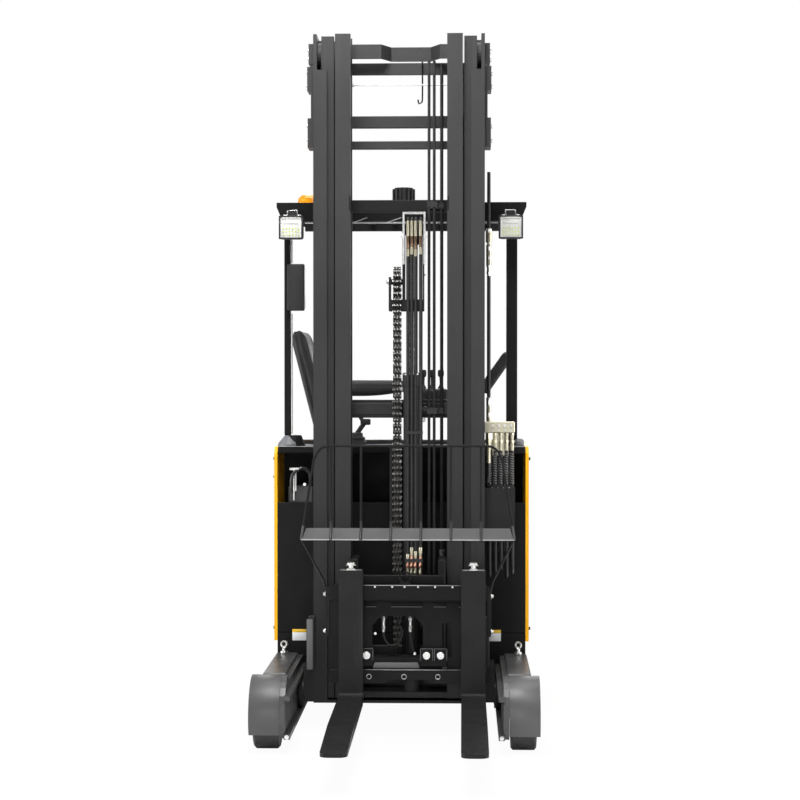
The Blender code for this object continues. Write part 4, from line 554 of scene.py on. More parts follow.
CHARCOAL = rolled_steel("mast_charcoal", (0.031, 0.031, 0.0315), 0.5)
CARRIAGE_GREY = powder_coat("carriage_charcoal", (0.011, 0.011, 0.0114), 0.46, scuffs=0.25, gloss=0.12)
ARM_GREY = powder_coat("arm_charcoal", (0.066, 0.066, 0.067), 0.34, scuffs=0.2, gloss=0.4)
FORK_BLACK = powder_coat("fork_black", (0.0155, 0.0155, 0.016), 0.4, scuffs=0.45, gloss=0.14)
CROSSHEAD_BLACK = powder_coat("crosshead_black", (0.01, 0.01, 0.011), 0.45)
# Painted light: the covers' paint is lighter to stand for the light falling on them from low in front.
COVER_LIT_GREY = powder_coat("cover_lit_charcoal", (0.085, 0.085, 0.086), 0.38, scuffs=0.15, gloss=0.4)
BODY_BLACK = powder_coat("body_black", (0.0075, 0.0075, 0.0078), 0.52, gloss=0.14)
YELLOW = powder_coat("panel_yellow", (1.0, 0.47, 0.0), 0.34, peel=0.12, tones=0.04)
SHELF_GREY = powder_coat("shelf_grey", (0.16, 0.16, 0.165), 0.42, tones=0.08)
ROD_BLACK = powder_coat("rod_black", (0.02, 0.02, 0.021), 0.34, tones=0.1, gloss=0.2)
# The backrest's paint carries painted light: a paler shelf and a bright lip.
BACKREST_PAINT = shelf_coat("backrest_paint", (0.012, 0.012, 0.012), (0.085, 0.085, 0.087))
# Painted highlight: a pale grey laid along dark edges to stand for the light caught there.
EDGE_HIGHLIGHT = powder_coat("edge_highlight", (0.42, 0.42, 0.42), 0.3, tones=0.1)
BLACK_PLASTIC = moulded_plastic("black_plastic", (0.01, 0.01, 0.011), 0.5)
GREY_PLASTIC = moulded_plastic("grey_plastic", (0.15, 0.155, 0.165), 0.45)
DARK_PLASTIC = moulded_plastic("dark_grey_plastic", (0.03, 0.03, 0.032), 0.38)
SEAT_VINYL = vinyl("seat_vinyl", (0.014, 0.014, 0.015))
HOSE_BLACK = braided_hose("hose_black", (0.009, 0.009, 0.009))
RUBBER_BLACK = rubber("rubber_black", (0.01, 0.01, 0.01))
ZINC = zinc("zinc_plate", (0.78, 0.78, 0.76))
GOLD_ZINC = zinc("gold_zinc", (0.58, 0.55, 0.42))
COPPER = bare_metal("copper_fitting", (0.78, 0.42, 0.3), 0.3)
# Painted reflection: a warm brown standing for the reflection on steel hose sleeves.
WARM_REFLECTION = bare_metal("steel_warm_reflection", (0.3, 0.2, 0.13), 0.26)
CHROME = bare_metal("ground_chrome", (0.72, 0.72, 0.72), 0.16, brush=(1.0, 1.0, 40.0), tones=0.03)
STEEL = bare_metal("ground_steel", (0.52, 0.52, 0.52), 0.32)
CHAIN_STEEL = bare_metal("oiled_chain", (0.03, 0.029, 0.027), 0.38, tones=0.25)
AMBER = clear_lens("amber_lens", (1.0, 0.36, 0.01), 0.2, 0.25)
WHITE_PLASTIC = moulded_plastic("lamp_white", (0.6, 0.6, 0.58), 0.3, grain=600.0, depth=0.1)
LED_GREEN = plain_sheet("led_phosphor", (0.56, 0.66, 0.16), 0.35)
# Painted highlight: the black spiral wrap is given a lighter grey so that it shows bright highlights.
GUARD_PLASTIC = moulded_plastic("spiral_plastic", (0.16, 0.16, 0.16), 0.18, grain=300.0, depth=0.06)
LABEL_WHITE = plain_sheet("label_white", (0.78, 0.79, 0.8), 0.4)
LABEL_YELLOW = plain_sheet("label_yellow", (0.9, 0.55, 0.03), 0.4)
SCREEN = plain_sheet("screen_glass", (0.012, 0.013, 0.016), 0.08)
LOAD_TYRE = {name: wheel_surface("load_tyre_" + name, (0.0, LOAD_AXLE.y, LOAD_AXLE.z), 0.104,
                                 (0.012, 0.012, 0.012), (0.03, 0.03, 0.031)) for name in ("left", "right")}
DRIVE_TYRE = wheel_surface("drive_tyre", (0.0, DRIVE_AXLE.y, DRIVE_AXLE.z), 0.108, (0.02, 0.018, 0.017),
                           (0.04, 0.04, 0.042))

NODE_FINISHES = {CHARCOAL: ("mast_outer", "mast_middle", "mast_inner", "free_lift_barrel"),
                 CARRIAGE_GREY: ("fork_carriage", "lift_carriage", "tilt_frame", "drive_mount",
                                 "drive_turntable", "battery"),
                 FORK_BLACK: ("fork_left", "fork_right"),
                 CROSSHEAD_BLACK: ("crosshead", "hose_bracket"),
                 BODY_BLACK: ("chassis_base", "front_wall", "bulkhead", "top_shroud", "motor_cover",
                              "drive_motor", "overhead_guard"),
                 YELLOW: ("side_panel_left", "side_panel_right", "rear_panel"),
                 BACKREST_PAINT: ("load_backrest",),
                 ARM_GREY: ("load_arm_left", "load_arm_right"),
                 BLACK_PLASTIC: ("armrest", "display_pod", "finned_alarm", "seat_base", "side_box",
                                 "steering_column", "steering_console", "steering_wheel", "work_light_left",
                                 "work_light_right"),
                 RUBBER_BLACK: ("operator_floor",),
                 SEAT_VINYL: ("seat_back", "seat_cushion"),
                 HOSE_BLACK: ("carriage_hoses", "mast_hoses", "reach_hoses"),
                 CHAIN_STEEL: ("lift_chain",),
                 ZINC: ("hose_guard",),
                 GOLD_ZINC: ("manifold",),
                 AMBER: ("beacon",),
                 DARK_PLASTIC: ("battery_connector",),
                 LOAD_TYRE["left"]: ("load_wheel_left",),
                 LOAD_TYRE["right"]: ("load_wheel_right",),
                 DRIVE_TYRE: ("drive_wheel",)}


def dress_nodes():
    for material, names in NODE_FINISHES.items():
        for name in names:
            NODES[name].material_slots[0].material = material


# Camera and hoses

def place_camera():
    camera_data = bpy.data.cameras.new("camera")
    camera_data.lens = CAMERA_LENS
    camera_data.sensor_width = 36.0
    camera = new_object("camera", camera_data)
    camera.location = CAMERA_PLACE
    camera.rotation_euler = (math.radians(90 - CAMERA_DIP), 0.0, math.radians(CAMERA_TURN))
    bpy.context.scene.camera = camera


def reach_hose_route(index):
    """The hose's line: down from the manifold, round its loop and up into the return block."""
    x = REACH_HOSE_XS[index]
    loop_z = REACH_LOOP_Z + 0.016 * (index % 3)
    return_y = MANIFOLD_Y - 2 * REACH_LOOP_RADIUS
    route = [Vector((x, MANIFOLD_Y, z)) for z in (MANIFOLD_LOW - TOUCH, 1.15, 1.0, 0.85)]
    for step in range(13):
        angle = math.pi * step / 12
        route.append(Vector((x, MANIFOLD_Y - REACH_LOOP_RADIUS * (1 - math.cos(angle)),
                             loop_z - REACH_LOOP_RADIUS * math.sin(angle))))
    route += [Vector((x, return_y, z)) for z in (0.78, RETURN_BLOCK_LOW - TOUCH)]
    return route


def spiral_guard(route, low, high, pitch=0.0105):
    """A flat plastic spiral wound round an upright stretch of hose."""
    x, y = route[0].x, route[0].y
    radius = REACH_HOSE_RADIUS + 0.0014
    turns = []
    for step in range(int((high - low) / pitch * 10) + 1):
        angle = 2 * math.pi * step / 10
        turns.append(Vector((x + radius * math.cos(angle), y + radius * math.sin(angle),
                             high - pitch * step / 10)))
    return pipe(turns, 0.0024, 1)


def make_reach_hoses():
    """Five hoses between the mast's manifold and its bracket, each with a spiral guard."""
    for index in range(5):
        route = reach_hose_route(index)
        hose = make_piece(f"reach_hose_{index + 1}", pipe(route, REACH_HOSE_RADIUS, 4), HOSE_BLACK,
                          "mast_outer_body")
        if index == 0:
            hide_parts("reach_hoses")
        guards = gather(
            spiral_guard(route, 1.022, 1.165),
            spiral_guard(route, 0.824, 0.996),
            spiral_guard(route, 0.735, 0.796),
        )
        make_piece(f"spiral_guard_{index + 1}", guards, GUARD_PLASTIC, "mast_outer_body")
    y = MANIFOLD_Y
    clamps = bmesh.new()
    for z in (1.0, 0.8):
        add(clamps, block((0.376, 0.494), (y - 0.013, y - 0.0005), (z, z + 0.02), 0.003))
        add(clamps, block((0.376, 0.494), (y + 0.0005, y + 0.013), (z, z + 0.02), 0.003))
    make_piece("hose_clamps", clamps, BLACK_PLASTIC, "mast_outer_body")
    screws = bmesh.new()
    return_y = y - 2 * REACH_LOOP_RADIUS
    ends = bmesh.new()
    for index, x in enumerate(REACH_HOSE_XS):
        if index < 4:
            for z in (1.01, 0.81):
                add(screws, socket_screw((x + 0.01225, y - 0.013, z), FRONT, 0.007))
        add(ends, post(x, return_y, RETURN_BLOCK_LOW, RETURN_BLOCK_LOW - 0.014, 0.01, sides=6, bevel=0.001))
        add(ends, post(x, return_y, RETURN_BLOCK_LOW - 0.014, RETURN_BLOCK_LOW - 0.04, 0.0088, sides=20))
    make_piece("clamp_screws", screws, ZINC, "mast_outer_body")
    make_piece("hose_return_ends", ends, GOLD_ZINC, "mast_outer_body")


# Mast

def chain_places():
    """Each pin's place along the leaf chain, front strand, pulley and rear strand."""
    front_y = FREE_LIFT.y - CHAIN_RADIUS
    rear_y = FREE_LIFT.y + CHAIN_RADIUS
    front = CHAIN_PULLEY_Z - CHAIN_FRONT_END
    rear = CHAIN_PULLEY_Z - CHAIN_REAR_END
    half_turn = math.pi * CHAIN_RADIUS
    places = []
    for i in range(int((front + rear + half_turn) / CHAIN_PITCH) + 1):
        run = i * CHAIN_PITCH
        if run <= front:
            places.append(Vector((CHAIN_X, front_y, CHAIN_FRONT_END + run)))
        elif run <= front + half_turn:
            angle = math.pi - (run - front) / CHAIN_RADIUS
            places.append(Vector((CHAIN_X, FREE_LIFT.y + CHAIN_RADIUS * math.cos(angle),
                                  CHAIN_PULLEY_Z + CHAIN_RADIUS * math.sin(angle))))
        else:
            places.append(Vector((CHAIN_X, rear_y, CHAIN_PULLEY_Z - (run - front - half_turn))))
    return places


def make_chain():
    """The leaf chain's plates, by turns three and two abreast, and its pins."""
    places = chain_places()
    link = block((-0.0026, 0.0026), (-0.0102, 0.0102), (-0.0225, 0.0225))
    corners = [edge for edge in link.edges if abs(edge.verts[0].co.x - edge.verts[1].co.x) > 0.001]
    round_edges(link, corners, 0.0092, segments=3)
    link_mesh = bpy.data.meshes.new("link")
    link.to_mesh(link_mesh)
    link.free()
    chain = bmesh.new()
    pins = bmesh.new()
    for i, (here, following) in enumerate(zip(places, places[1:])):
        direction = (following - here).normalized()
        across = Vector((1, 0, 0))
        depth = direction.cross(across)
        turn = Matrix((across, depth, direction)).transposed().to_4x4()
        turn.translation = (here + following) / 2
        offsets = (-0.013, 0.0, 0.013) if i % 2 == 0 else (-0.0066, 0.0066)
        for offset in offsets:
            copy = link_mesh.copy()
            copy.transform(turn @ Matrix.Translation((offset, 0, 0)))
            chain.from_mesh(copy)
            bpy.data.meshes.remove(copy)
        add(pins, rod(here - across * 0.0172, here + across * 0.0172, 0.0045, sides=8))
    bpy.data.meshes.remove(link_mesh)
    make_piece("leaf_chain", chain, CHAIN_STEEL, "crosshead_body", ["lift_chain"])
    make_piece("chain_pins", pins, STEEL, "crosshead_body")


def make_mast_details():
    """Chromed rods, bolts, roller caps, the stop hook and the tie wire."""
    for side_name, side in SIDES:
        x = side * LIFT_ROD.x
        sleeve = post(x, LIFT_ROD.y, 0.21, 2.799, 0.0205, sides=32)
        make_piece("lift_rod_" + side_name, sleeve, CHROME, "mast_middle_body")
    free_rod = post(FREE_LIFT.x, FREE_LIFT.y, 0.31, 1.769, 0.02025, sides=40)
    make_piece("free_lift_rod", free_rod, CHROME, "crosshead_body")
    bolts = bmesh.new()
    caps = bmesh.new()
    plate_bolts = (
        # height, stand of the plate
        (2.845, 0.022), (2.88, 0.022), (2.73, 0.028), (2.785, 0.028), (2.5, 0.026), (2.56, 0.026),
    )
    for side in (LEFT, RIGHT):
        for z, stand in plate_bolts:
            for y in (0.118, 0.196):
                add(bolts, hex_bolt((side * (0.363 + stand), y, z), (side, 0, 0), 0.009))
        add(caps, turned((side * 0.337, MAST_FRONT_Y + 0.098, 2.866), (-side, 0, 0),
                         [(0.0, 0.012), (0.016, 0.012), (0.018, 0.01), (0.018, 0.0), (0.0, 0.0)], 20))
    make_piece("mast_bolts", bolts, ZINC, "mast_outer_body")
    strip = block((-0.3905, -0.365), (0.0535, 0.0559), (0.251, 0.465), 0.001)
    make_piece("wear_strip", strip, SHELF_GREY, "mast_outer_body")
    make_piece("roller_caps", caps, STEEL, "mast_outer_body")
    stop_path = smooth_path([(0.097, 0.19, 2.846), (0.097, 0.19, 2.7), (0.094, 0.19, 2.668),
                             (0.082, 0.19, 2.662), (0.078, 0.19, 2.68)], 0.01)
    make_piece("stop_hook", pipe(stop_path, 0.0035), CHAIN_STEEL, "mast_inner_body")
    make_piece("tie_wire", [
        rod((-0.254, 0.187, 2.742), (0.254, 0.187, 2.742), 0.003, sides=10),
        rod((-0.206, 0.187, 2.742), (-0.196, 0.187, 2.742), 0.007, sides=6),
        rod((0.206, 0.187, 2.742), (0.216, 0.187, 2.742), 0.007, sides=6),
    ], ZINC, "mast_inner_body")


def make_crosshead_details():
    """Guard bolts, pulley nuts, the free-lift gland, the hose ends and their anchor."""
    make_piece("guard_bolts", [
        hex_bolt((0.0165, 0.047, 2.085), (-1, 0, 0), 0.008),
        hex_bolt((0.1135, 0.047, 2.085), (1, 0, 0), 0.008),
        hex_bolt((0.03, 0.0245, 2.1805), FRONT, 0.004),
        hex_bolt((0.1, 0.0245, 2.1805), FRONT, 0.004),
    ], ZINC, "crosshead_body")
    make_piece("pulley_nuts", [
        hex_bolt((-0.0445, FREE_LIFT.y, CHAIN_PULLEY_Z), (-1, 0, 0), 0.012),
        hex_bolt((0.1075, FREE_LIFT.y, CHAIN_PULLEY_Z + 0.03), (1, 0, 0), 0.006),
    ], STEEL, "crosshead_body")
    make_piece("free_lift_gland", [
        turned((FREE_LIFT.x, FREE_LIFT.y, 1.5), UP,
               [(0.0212, 0.0), (0.0385, 0.0), (0.0385, 0.006), (0.034, 0.01), (0.0212, 0.01), (0.0212, 0.0)],
               32),
        fitting((FREE_LIFT.x - 0.0355, FREE_LIFT.y, 1.44), (FREE_LIFT.x - 0.06, FREE_LIFT.y, 1.44), 0.009),
    ], STEEL, "mast_inner_body")
    ends = bmesh.new()
    pale_ends = bmesh.new()
    upper = bmesh.new()
    lower = bmesh.new()
    front_y = FREE_LIFT.y - HOSE_LOOP_RADIUS
    for index, x in enumerate(HOSE_XS):
        top = (0.744, 0.772, 0.756, 0.772)[index]
        add(pale_ends, post(x, front_y, top - 0.036, top, 0.0069, bevel=0.0008))
        add(ends, post(x, front_y, 0.7, top - 0.036, 0.0068, 0.0072))
        add(ends, post(x, front_y, 0.684, 0.7, 0.0078, sides=6, bevel=0.001))
        add(pale_ends, post(x, front_y, 0.672, 0.684, 0.0064, sides=16))
        add(pale_ends, post(x, front_y, 0.656, 0.672, 0.0076, sides=6, bevel=0.0008))
        foot = 2.03 + 0.008 * (index % 2)
        # Painted reflection: the steel sleeves are pale gold above and brown below, standing for the warm
        # reflection on them.
        add(upper, post(x, front_y, 2.085, 2.15, 0.0066, bevel=0.0006))
        add(lower, post(x, front_y, foot, 2.085, 0.0064, bevel=0.0006))
        add(upper, post(x, front_y, foot - 0.03, foot, 0.007, bevel=0.0006))
    make_piece("hose_ferrules", ends, COPPER, "crosshead_body")
    make_piece("hose_sleeves_upper", upper, GOLD_ZINC, "crosshead_body")
    make_piece("hose_sleeves_lower", lower, WARM_REFLECTION, "crosshead_body")
    make_piece("hose_nuts", pale_ends, GOLD_ZINC, "crosshead_body")
    make_piece("hose_anchor", [
        block((0.028, 0.102), (front_y - 0.01, front_y + 0.01), (0.636, 0.6555), 0.002),
        block((CHAIN_X - 0.019, CHAIN_X + 0.019), (0.039, 0.061), (0.622, 0.655), 0.003),
    ], CROSSHEAD_BLACK, "crosshead_body")
    make_piece("mast_hose_fitting", [
        fitting((0.18, 0.165, 0.752), (0.18, 0.165, 0.69), 0.01),
        rod((0.18, 0.157, 0.718), (0.18, 0.142, 0.718), 0.0075, sides=6, bevel=0.001),
    ], ZINC, "mast_inner_body")
    knot = turned((0.1, 0.178, 1.308), FRONT,
                  [(0.0, 0.012), (0.008, 0.012), (0.0105, 0.009), (0.0105, 0.0), (0.0, 0.0)], 24)
    make_piece("stay_bolt", knot, ZINC, "mast_inner_body")


# Carriage and forks

def make_tilt_frame_details():
    """Slide pads, roller discs, screws, fittings, hoses, the sideshift cylinder, and black strips of painted
    shade for the guide slots with painted highlights on their lips.
    """
    front = TILT_PLATE_FRONT
    pads = bmesh.new()
    for low, high in ((-0.103, 0.092), (0.186, 0.206)):
        outline = [(low, 0.285), (high, 0.285), (high - 0.008, 0.308), (low + 0.008, 0.308)]
        add(pads, plate("Y", outline, front - 0.015, front - TOUCH, 0.0012))
    make_piece("slide_pads", pads, SHELF_GREY, "tilt_frame_body")
    discs = bmesh.new()
    outlines = bmesh.new()
    block_front = front - 0.024
    for x in (-0.183, -0.127, 0.121, 0.179):
        add(discs, turned((x, block_front - 0.0071, 0.34), FRONT,
                          [(0.0, 0.0045), (0.0035, 0.0045), (0.0045, 0.0025), (0.0085, 0.0025),
                           (0.0095, 0.005), (0.014, 0.005), (0.0155, 0.0035), (0.0155, -0.003),
                           (0.0, -0.003)], 28))
        y = (block_front - 0.0012, block_front - 0.0001)
        for x0, x1, low in ((-0.0265, 0.0265, 0.3665), (-0.0265, -0.0245, 0.318), (0.0245, 0.0265, 0.318)):
            add(outlines, block((x + x0, x + x1), y, (low, 0.3685), 0.0003))
    make_piece("roller_discs", discs, ZINC, "tilt_frame_body")
    make_piece("disc_plates", outlines, SHELF_GREY, "tilt_frame_body")
    screws = [socket_screw((x, front - 0.0002, z), FRONT, 0.011)
              for x, z in ((-0.092, 0.428), (0.072, 0.345))]
    make_piece("frame_screws", screws, ZINC, "tilt_frame_body")
    fittings = [fitting((x, -0.08, 0.497), (x, -0.08, 0.431), 0.0072) for x in (-0.059, 0.052)]
    make_piece("sideshift_fittings", fittings, ZINC, "tilt_frame_body")
    left_hose = smooth_path([(-0.059, -0.08, 0.434), (-0.057, -0.079, 0.41), (-0.038, -0.076, 0.378),
                             (-0.01, -0.074, 0.377), (0.012, -0.074, 0.4), (0.022, -0.075, 0.44)], 0.01)
    right_hose = smooth_path([(0.052, -0.08, 0.434), (0.053, -0.079, 0.405), (0.06, -0.077, 0.372),
                              (0.066, -0.076, 0.35)], 0.01)
    hoses = gather(pipe(left_hose, 0.0048), pipe(right_hose, 0.0048))
    cylinder = gather(
        rod((-0.1, -0.075, 0.515), (0.1, -0.075, 0.515), 0.015, sides=28, bevel=0.002),
        block((-0.075, -0.043), (-0.086, -0.064), (0.488, 0.515), 0.002),
        block((0.036, 0.068), (-0.086, -0.064), (0.488, 0.515), 0.002),
    )
    make_piece("sideshift_hoses", hoses, RUBBER_BLACK, "tilt_frame_body")
    make_piece("sideshift_cylinder", cylinder, CROSSHEAD_BLACK, "tilt_frame_body")
    # Painted shade: flat black strips stand for the shade inside the guide slots, and the pale lips below
    # them are painted highlights.
    slots = bmesh.new()
    lips = bmesh.new()
    for low, high in ((-0.134, -0.086), (-0.03, 0.106), (0.147, 0.204), (0.25, 0.264)):
        add(slots, block((low, high), (front - 0.001, front + 0.001), (0.54, 0.556), 0.0004))
        add(lips, block((low + 0.003, high - 0.003), (front - 0.0016, front - 0.0002), (0.537, 0.5396),
                        0.0004))
    make_piece("guide_slot_shades", slots, BODY_BLACK, "tilt_frame_body")
    make_piece("guide_lip_highlights", lips, SHELF_GREY, "tilt_frame_body")


def make_fork_carriage_details():
    """Rims with black discs of painted shade for holes, screws, the hose ring, bolts, painted highlights
    along the bars' edges, the forks' latch pins and the backrest's rods.
    """
    y = CARRIAGE_FRONT_Y
    hole_xs = (-0.117, 0.028, 0.168)
    rims = [ring((x, y, 0.254), FRONT, 0.0095, 0.0018, 24) for x in hole_xs]
    # Painted shade: flat black discs stand for the dark insides of the holes.
    plugs = [rod((x, y - 0.0006, 0.254), (x, y + 0.001, 0.254), 0.0085, sides=20) for x in hole_xs]
    heads = [socket_screw((x, y, 0.6255), FRONT, 0.0075) for x in (-0.092, -0.021, 0.03, 0.086, 0.156, 0.228)]
    make_piece("bar_hole_rims", rims, ZINC, "fork_carriage_body")
    make_piece("bar_hole_shades", plugs, BODY_BLACK, "fork_carriage_body")
    make_piece("bar_screws", heads, ZINC, "fork_carriage_body")
    make_piece("hose_ring", [
        ring((0.032, -0.122, 0.664), FRONT, 0.0215, 0.0032, 36),
        block((0.01, 0.054), (-0.132, -0.112), (0.6325, 0.64), 0.0015),
        hex_bolt((0.016, -0.122, 0.64), UP, 0.006),
        hex_bolt((0.048, -0.122, 0.64), UP, 0.006),
    ], CROSSHEAD_BLACK, "fork_carriage_body")
    bolts = [hex_bolt((SIDESHIFT + side * 0.3425, -0.125, z), (side, 0, 0), 0.012)
             for side, z in ((LEFT, 0.593), (LEFT, 0.44), (RIGHT, 0.586), (RIGHT, 0.44))]
    make_piece("backrest_bolts", bolts, ZINC, "fork_carriage_body")
    # Painted highlight: thin steel strips along the bars' edges stand for the light caught there.
    edges = [block((-0.138, 0.262), (y - 0.0004, y + 0.003), z, 0.0006)
             for z in ((0.63, 0.6325), (0.2812, 0.2834))]
    make_piece("bar_edge_highlights", edges, STEEL, "fork_carriage_body")
    pins = bmesh.new()
    for x in (-0.19, 0.314):
        add(pins, turned((x, -0.156, 0.6975), UP,
                         [(0.0, 0.0), (0.0175, 0.0), (0.0175, 0.004), (0.0095, 0.007), (0.0095, 0.018),
                          (0.0165, 0.021), (0.0165, 0.029), (0.013, 0.031), (0.0, 0.031)], 28))
        add(pins, rod((x - 0.02, -0.156, 0.7165), (x + 0.02, -0.156, 0.7165), 0.0022, sides=8))
        add(pins, block((x - 0.046, x + 0.046), (-0.179, -0.142), (0.6971, 0.6985), 0.0005))
    make_piece("fork_pins", pins, ZINC, "fork_carriage_body")
    rods = bmesh.new()
    front_y = FORK_FACE_Y - 0.004
    for i in range(6):
        x = SIDESHIFT - 0.0075 + (i - 2.5) * 0.123
        add(rods, pipe([Vector((x, front_y, 0.9)), Vector((x, front_y, 0.878)),
                        Vector((x, front_y - 0.004, 0.868)), Vector((x, front_y - 0.042, 0.826))], 0.0054, 3))
    make_piece("backrest_rods", rods, ROD_BLACK, "fork_carriage_body")


# Chassis

def make_work_lights():
    """Each light's reflector tray, diodes, bezel, bent bracket and bolts."""
    low, high = LIGHT_Z
    front = LIGHT_FRONT_Y
    face = (0.3765, 0.3797)
    tray = (
        # left and right of the light's middle, depth in front and behind, low and high
        (-0.0455, 0.0455, 0.0015, 0.004, low + 0.006, high - 0.006),
        (-0.0455, 0.0455, 0.006, 0.0, high - 0.012, high - 0.006),
        (-0.034, 0.034, 0.0048, 0.0, high - 0.034, high - 0.029),
        (-0.0455, -0.04, 0.006, 0.0, low + 0.006, high - 0.006),
        (0.04, 0.0455, 0.006, 0.0, low + 0.006, high - 0.006),
    )
    bezel = ((-0.053, 0.053, low, low + 0.0065), (-0.053, 0.053, high - 0.0065, high),
             (-0.053, -0.0458, low, high), (0.0458, 0.053, low, high))
    bracket = ((-0.04, -0.014, 0.006, 0.01), (0.014, 0.04, 0.006, 0.01), (-0.024, -0.0195, 0.006, 0.03),
               (0.0195, 0.024, 0.006, 0.03), (-0.024, 0.024, 0.0265, 0.031))
    for side_name, side in SIDES:
        middle = side * LIGHT_X
        shapes = [block((middle + x0, middle + x1), (front - near, front + far), (z0, z1), 0.001)
                  for x0, x1, near, far, z0, z1 in tray]
        make_piece("light_tray_" + side_name, shapes, WHITE_PLASTIC, "chassis")
        diodes = bmesh.new()
        for row in range(3):
            for column in range(6):
                x = middle + (column - 2.5) * 0.0132
                z = low + 0.018 + row * 0.014
                add(diodes, rod((x, front - 0.0032, z), (x, front - 0.001, z), 0.0034, sides=12))
        make_piece("diodes_" + side_name, diodes, LED_GREEN, "chassis")
        shapes = [block((middle + x0, middle + x1), (front - 0.008, front + 0.01), (z0, z1), 0.002)
                  for x0, x1, z0, z1 in bezel]
        make_piece("light_bezel_" + side_name, shapes, BLACK_PLASTIC, "chassis")
        shapes = [block((middle + x0, middle + x1), face, (high + z0, high + z1), 0.001)
                  for x0, x1, z0, z1 in bracket]
        make_piece("light_bracket_" + side_name, shapes, ZINC, "chassis")
        bolts = [hex_bolt((middle + x, front + 0.03, high + 0.0002), UP, 0.006) for x in (-0.03, 0.03)]
        make_piece("light_bolts_" + side_name, bolts, ZINC, "chassis")


def make_labels():
    """Two blank plates on the front: a yellow strip over white."""
    y = (CHASSIS_FRONT_Y - 0.0012, CHASSIS_FRONT_Y - 0.0001)
    for side_name, x in (("left", (-0.48, -0.418)), ("right", (0.381, 0.438))):
        make_piece("label_" + side_name, block(x, y, (0.33, 0.366), 0.0004), LABEL_WHITE, "chassis")
        make_piece("label_strip_" + side_name, block(x, y, (0.3665, 0.38), 0.0004), LABEL_YELLOW, "chassis")


def make_connector():
    """The battery connector's pull handle and its bolt."""
    make_piece("connector_handle", [
        block((-0.4905, -0.448), (0.35, 0.356), (1.082, 1.093), 0.002),
        block((-0.474, -0.468), (0.3505, 0.3545), (0.95, 1.083), 0.001),
        block((-0.465, -0.46), (0.3505, 0.3545), (0.99, 1.083), 0.001),
        hex_bolt((-0.424, 0.3525, 1.02), FRONT, 0.007),
    ], ZINC, "chassis")


